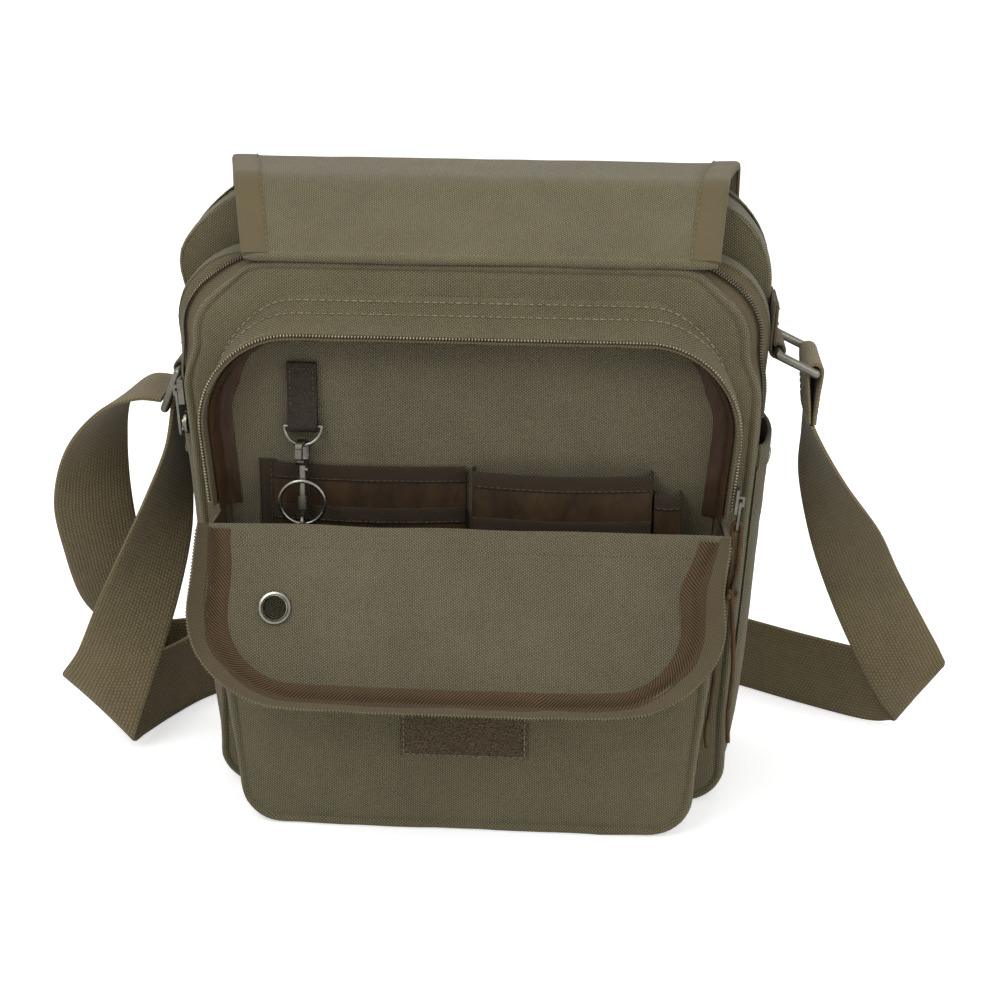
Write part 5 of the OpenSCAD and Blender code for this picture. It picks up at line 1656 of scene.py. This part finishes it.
class BAG_OT_strap(bpy.types.Operator):
    """Make the shoulder strap, its loops round the rings and its box stitching"""

    bl_idname = "bag.strap"
    bl_label = "Shoulder strap"

    def execute(self, context):
        # The long part is made in two halves.
        mid, half = stations(LONG_ROUTE, 0, 10), stations(LONG_ROUTE, 1, 10)
        middle = 10 * (len(LONG_ROUTE) // 2)
        webbing("strap_right", mid[:middle + 1], half[:middle + 1], "ring_right", "webbing", nodes=("strap_long",),
            seed=3.0, blend=((174, 35, 102), (151.5, 17, 162)))
        webbing("strap_left", mid[middle:], half[middle:], "ring_left", "webbing", nodes=("strap_long",), seed=3.0,
            blend=((-154, 7, 92), (-137, 14, 156)))
        webbing("strap_return", stations(SHORT_ROUTE, 0, 10), stations(SHORT_ROUTE, 1, 10), "ring_left", "webbing",
            nodes=("strap_short",), seed=9.0, blend=((-181, 36, 95), (-170, 20, 164)))
        # Right loop: up one leaf, over the ring's outer bar, down the other leaf
        drop = math.radians(26)
        bx = side_x(RIGHT_RING_Z) + RING_OUT + RING_RISE * math.cos(drop)
        bz = RIGHT_RING_Z - RING_RISE * math.sin(drop)
        r = RING_WIRE + 0.3 + 1.0
        inner = [(1.35 + bx - 0.2, bz - 24), (1.5 + bx, bz - 18), (2.2 + bx, bz - 10), (2.95 + bx, bz - 4)]
        outer = [(bx - 2.95, bz - 4), (bx - 2.2, bz - 10), (bx - 1.5, bz - 17), (bx - 1.2, bz - 23.6)]
        path = [np.array([x, RING_Y, z]) for x, z in inner]
        path += arc_path(bx, bz, r, 0, 180, 15, RING_Y)
        path += [np.array([x, RING_Y, z]) for x, z in outer]
        mid = stations([(p,) for p in path], 0, 3)
        webbing("strap_loop", mid, None, "ring_right", "webbing", nodes=("strap_loop_right",), width=37.6, thick=1.8)
        # Turn over the left ring's outer bar
        drop = math.radians(68)
        lx = -side_x(LEFT_RING_Z) - RING_OUT - RING_RISE * math.cos(drop)
        lz = LEFT_RING_Z - RING_RISE * math.sin(drop)
        path = arc_path(lx, lz, r, -4, 108, 14, RING_Y)
        mid = np.array(path)
        webbing("strap_turn", mid, None, "ring_left", "webbing", nodes=("strap_turn_left",), width=37.6, thick=1.9)
        # Box stitching on the loop
        box = [(-1, 1), (1, 1), (1, -1), (-1, -1), (-1, 1), (1, -1)]
        for way, slope in ((1, 0.55), (-1, 0.6)):
            pts = [np.array([bx + way * (2.9 + slope * v), RING_Y + 14.5 * u, bz - 13.5 + 7.0 * v]) for u, v in box]
            for a, b in zip(pts[:-1], pts[1:]):
                stitch_row("box", np.array([a, b]), (way, 0, 0), 3.0, lift=0.1)
        o = copies("loop_box_thread", bead_template(2.4, 0.7, 0.55), STITCH["box"])
        finish_piece(o, "hem_thread", "ring_right", "webbing")
        return {"FINISHED"}


class BAG_OT_ring_tabs(bpy.types.Operator):
    """Make the webbing tabs that hold the strap rings on the bag's sides"""

    bl_idname = "bag.ring_tabs"
    bl_label = "Ring tabs"

    def execute(self, context):
        for name, sign, z in (("right", 1, RIGHT_RING_Z), ("left", -1, LEFT_RING_Z)):
            cx = side_x(z) + RING_OUT
            r = RING_WIRE + 0.3 + 0.85
            path = [np.array([side_x(z + 22) + 1.0, RING_Y, z + 22]),
                np.array([side_x(z + 16) + 1.05, RING_Y, z + 16]), np.array([side_x(z + 9) + 1.1, RING_Y, z + 9]),
                np.array([side_x(z) + 1.35, RING_Y, z + 3.4])]
            path += arc_path(cx, z, r, 178, 360, 13, RING_Y)
            path += arc_path(cx, z, r, 15, 118, 7, RING_Y)
            path += [np.array([side_x(z + 9) + 2.7, RING_Y, z + 8.2]),
                np.array([side_x(z + 15) + 2.6, RING_Y, z + 15]), np.array([side_x(z + 20) + 2.4, RING_Y, z + 20.5])]
            mid = stations([(p,) for p in path], 0, 3)
            mid[:, 0] *= sign
            webbing("ring_tab_web_" + name, mid, None, "bag", "binding", material="tab_webbing",
                nodes=("ring_tab_" + name,), width=27.6, thick=1.5)
            x = sign * (side_x(z + 15) + 3.5)
            for zz in (z + 11, z + 18):
                stitch_row("tabs", np.array([[x, RING_Y - 12, zz], [x, RING_Y + 12, zz]]), (sign, 0, 0), 2.8,
                    lift=0.2)
        o = copies("tab_web_thread", bead_template(2.3, 0.6, 0.5), STITCH["tabs"])
        finish_piece(o, "dark_thread", "bag", "binding")
        return {"FINISHED"}


class BAG_OT_side_pockets(bpy.types.Operator):
    """Make the open pockets on the bag's sides"""

    bl_idname = "bag.side_pockets"
    bl_label = "Side pockets"

    def execute(self, context):
        s = context.scene.bag_sizes
        for name, sign in (("right", 1), ("left", -1)):
            n, m = 44, 60
            U, V = np.meshgrid(np.linspace(0, 1, n), np.linspace(0, 1, m))
            z = 18 + 149.5 * V
            side = side_x(z)
            y = -8.5 + 60 * U
            bulge = np.sin(U * math.pi) ** 0.45 * (0.5 + 0.5 * np.clip(V * 6, 0, 1) ** 0.5)
            out = 0.5 + 6.5 * bulge * (0.82 + 0.18 * np.sin(V * math.pi * 0.5))
            P = np.stack([side + out, y, z], 2)
            P[..., 0] += 0.9 * bulge * (soft_noise(P * np.array([1, 1, 0.5]), 26.0, 5.0 * sign)
                + 0.4 * soft_noise(P, 10.0, 3.0))
            P[..., 0] *= sign
            o = cloth("side_pocket_cloth_" + name, P, 1.3, away=(0, 21, 90))
            finish_piece(o, "canvas", "bag", "canvas", "side_pocket_" + name)
            top = P[-1]
            rows = []
            for dz, dx in ((-11, 0.1), (-10.4, 0.55), (-6, 0.6), (-2, 0.6), (0.2, 0.45), (0.8, -0.3), (0.5, -1.3),
                (-2, -1.7), (-9, -1.7)):
                q = top.copy()
                q[:, 2] += dz
                q[:, 0] += sign * dx - (sign * 16 / BODY_H * -dz)
                rows.append(q)
            o = cloth("side_pocket_hem_" + name, np.array(rows), 0.6, away=(0, 21, 150))
            finish_piece(o, "canvas", "bag", "canvas", "side_pocket_" + name)
            line = top.copy()
            line[:, 2] -= 9.6
            line[:, 0] += sign * 0.1
            stitch_row("sides", line[1:-1], (sign, 0, 0), s.stitch / MM, lift=0.3)
        sew("sides", "bag")
        return {"FINISHED"}


class BAG_OT_hardware(bpy.types.Operator):
    """Finish the metal parts"""

    bl_idname = "bag.hardware"
    bl_label = "Hardware"

    def execute(self, context):
        finishes = {
            "steel": ("ring_right", "ring_left", "strap_adjuster", "main_slider", "main_pull", "front_slider",
                "front_pull", "pocket_slider", "pocket_pull", "snap_hook", "hook_gate", "swivel_eye", "side_snap"),
            "bright_steel": ("key_dring", "key_ring"),
        }
        for finish, nodes in finishes.items():
            for n in nodes:
                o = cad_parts[n]
                o.data.materials.clear()
                o.data.materials.append(MATERIALS[finish])
                only(o)
                bpy.ops.object.shade_smooth_by_angle(angle=math.radians(35))
        return {"FINISHED"}


class BAG_OT_lace(bpy.types.Operator):
    """Make the knotted leather lace on the organiser's pull"""

    bl_idname = "bag.lace"
    bl_label = "Lace pull"

    def execute(self, context):
        back = [(115.1, -38.9, 143.2), (113.7, -38.9, 142.4), (113.35, -38.9, 140), (113.5, -39.2, 134),
            (113.5, -40, 126), (112.4, -41.5, 112), (109.5, -44, 90), (107.4, -46, 62), (105.6, -46.4, 48),
            (106.4, -46.6, 40)]
        ahead = [(115.1, -38.9, 143.2), (116.6, -38.9, 142.4), (117, -38.9, 139), (116.8, -39.4, 132),
            (115.8, -41, 122), (114.2, -42.6, 112), (115.2, -42, 98), (116.4, -41, 76), (115.2, -41, 54),
            (115.8, -41, 40)]
        for name, pts in (("lace_back", back), ("lace_front", ahead)):
            p = stations([(q,) for q in pts], 0, 3)
            clear_selection()
            bpy.ops.curve.primitive_nurbs_path_add()
            o = named(bpy.context.object, name)
            curve = o.data
            curve.splines.clear()
            sp = curve.splines.new("POLY")
            sp.points.add(len(p) - 1)
            for k, q in enumerate(p):
                sp.points[k].co = (*(q * MM), 1)
            curve.bevel_depth = 1.05 * MM
            curve.bevel_resolution = 3
            curve.use_fill_caps = True
            curve.materials.append(MATERIALS["lace"])
            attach(o, "pocket_pull")
            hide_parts("lace_pull")
            if name == "lace_back":
                self.knot()
        return {"FINISHED"}

    def knot(self):
        """Overhand knot that holds both tails together."""
        t = np.linspace(0, 2 * math.pi, 40)
        x = 113.6 + 1.5 * np.cos(t) + 0.9 * np.cos(2 * t)
        y = -42.2 + 1.5 * np.sin(t) - 0.9 * np.sin(2 * t)
        line = np.stack([x, y, 112.2 + 1.5 * np.sin(3 * t)], 1)
        ring = np.linspace(0, 2 * math.pi, 13)
        along = np.gradient(line, axis=0)
        rows = []
        for p, d in zip(line, along):
            a = unit(np.cross(d, (0.3, 0.2, 1)))
            b = unit(np.cross(d, a))
            rows.append([p + 1.05 * (a * math.cos(k) + b * math.sin(k)) for k in ring])
        o = cloth("lace_knot", np.array(rows), 0, away=(113.6, -42.2, 112.2), wrap=True, smooth=60)
        finish_piece(o, "lace", "pocket_pull", "leather", "lace_pull")


class BAG_OT_stage(bpy.types.Operator):
    """Make the pale floor, the backdrop and the soft lamps"""

    bl_idname = "bag.stage"
    bl_label = "Stage"

    def execute(self, context):
        scene = context.scene
        n, m = 40, 12
        xs = np.linspace(-2600, 2600, m)
        rows = []
        for t in np.linspace(0, 1, n):
            if t < 0.5:
                y, z = -2500 + 4400 * t / 0.5, 0.0
            else:
                a = (t - 0.5) / 0.5
                y = 1900 + 900 * math.sin(min(a * 1.6, 1) * math.pi / 2)
                z = 900 * (1 - math.cos(min(a * 1.6, 1) * math.pi / 2)) + max(a - 0.625, 0) * 4200
            rows.append(np.stack([xs, np.full(m, y), np.full(m, z - 0.02)], 1))
        o = cloth("floor", np.array(rows), 0, away=(0, 0, -4000), smooth=60)
        mat = bpy.data.materials.new("floor")
        mat.use_nodes = True
        tree = mat.node_tree
        shader = tree.nodes["Principled BSDF"]
        shader.inputs["Base Color"].default_value = (*scene.bag_colours.floor, 1)
        shader.inputs["Roughness"].default_value = 0.9
        shader.inputs["Specular IOR Level"].default_value = 0.1
        see_floor = Net(tree)
        path = see_floor.node("ShaderNodeLightPath")
        shader.inputs["Emission Color"].default_value = (1, 1, 1, 1)
        see_floor.feed(see_floor.math("MULTIPLY", path.outputs["Is Camera Ray"], 0.5),
            shader.inputs["Emission Strength"])
        o.data.materials.clear()
        o.data.materials.append(mat)
        world = bpy.data.worlds.new("studio")
        scene.world = world
        world.use_nodes = True
        net = Net(world.node_tree)
        back = world.node_tree.nodes["Background"]
        path = net.node("ShaderNodeLightPath")
        back.inputs["Color"].default_value = (1, 1, 1, 1)
        see = net.math("MAXIMUM", path.outputs["Is Camera Ray"], path.outputs["Is Glossy Ray"])
        net.feed(net.math("MULTIPLY_ADD", see, 0.4, 0.6), back.inputs["Strength"])
        for name, where, size, power in (
            ("key", (-0.9, -1.3, 1.7), 1.1, 20.0),
            ("fill", (1.3, -1.0, 1.0), 1.2, 9.0),
            ("top", (0.0, 0.3, 1.9), 1.4, 10.0),
        ):
            clear_selection()
            bpy.ops.object.light_add(type="AREA", location=where)
            lamp = named(context.object, name + "_lamp")
            lamp.data.size = size
            lamp.data.energy = power
            lamp.rotation_euler = (Vector((0, 0, 0.12)) - Vector(where)).to_track_quat("-Z", "Y").to_euler()
        scene.view_settings.view_transform = "Standard"
        return {"FINISHED"}


class BAG_PT_panel(bpy.types.Panel):
    """The bag's pieces, in the order that they are made"""

    bl_label = "Canvas messenger bag"
    bl_idname = "BAG_PT_panel"
    bl_space_type = "VIEW_3D"
    bl_region_type = "UI"
    bl_category = "Bag"

    def draw(self, context):
        col = self.layout.column()
        for holder in (context.scene.bag_sizes, context.scene.bag_colours):
            for name in holder.bl_rna.properties.keys():
                if name not in ("rna_type", "name"):
                    col.prop(holder, name)
        for op in PIECES:
            col.operator(op.bl_idname)


PIECES = (
    BAG_OT_materials,
    BAG_OT_camera,
    BAG_OT_lace,
    BAG_OT_body,
    BAG_OT_body_zips,
    BAG_OT_pocket,
    BAG_OT_pocket_zip,
    BAG_OT_door,
    BAG_OT_organiser,
    BAG_OT_leash,
    BAG_OT_flap,
    BAG_OT_loop_pad,
    BAG_OT_strap,
    BAG_OT_ring_tabs,
    BAG_OT_side_pockets,
    BAG_OT_hardware,
    BAG_OT_stage,
)
CLASSES = (BagSizes, BagColours, BAG_PT_panel) + PIECES


def register():
    for c in CLASSES:
        bpy.utils.register_class(c)
    bpy.types.Scene.bag_sizes = bpy.props.PointerProperty(type=BagSizes)
    bpy.types.Scene.bag_colours = bpy.props.PointerProperty(type=BagColours)


def unregister():
    del bpy.types.Scene.bag_colours
    del bpy.types.Scene.bag_sizes
    for c in reversed(CLASSES):
        bpy.utils.unregister_class(c)


def main():
    register()
    for op in PIECES:
        kind, name = op.bl_idname.split(".")
        getattr(getattr(bpy.ops, kind), name)()
    clear_selection()


if __name__ == "__main__":
    main()
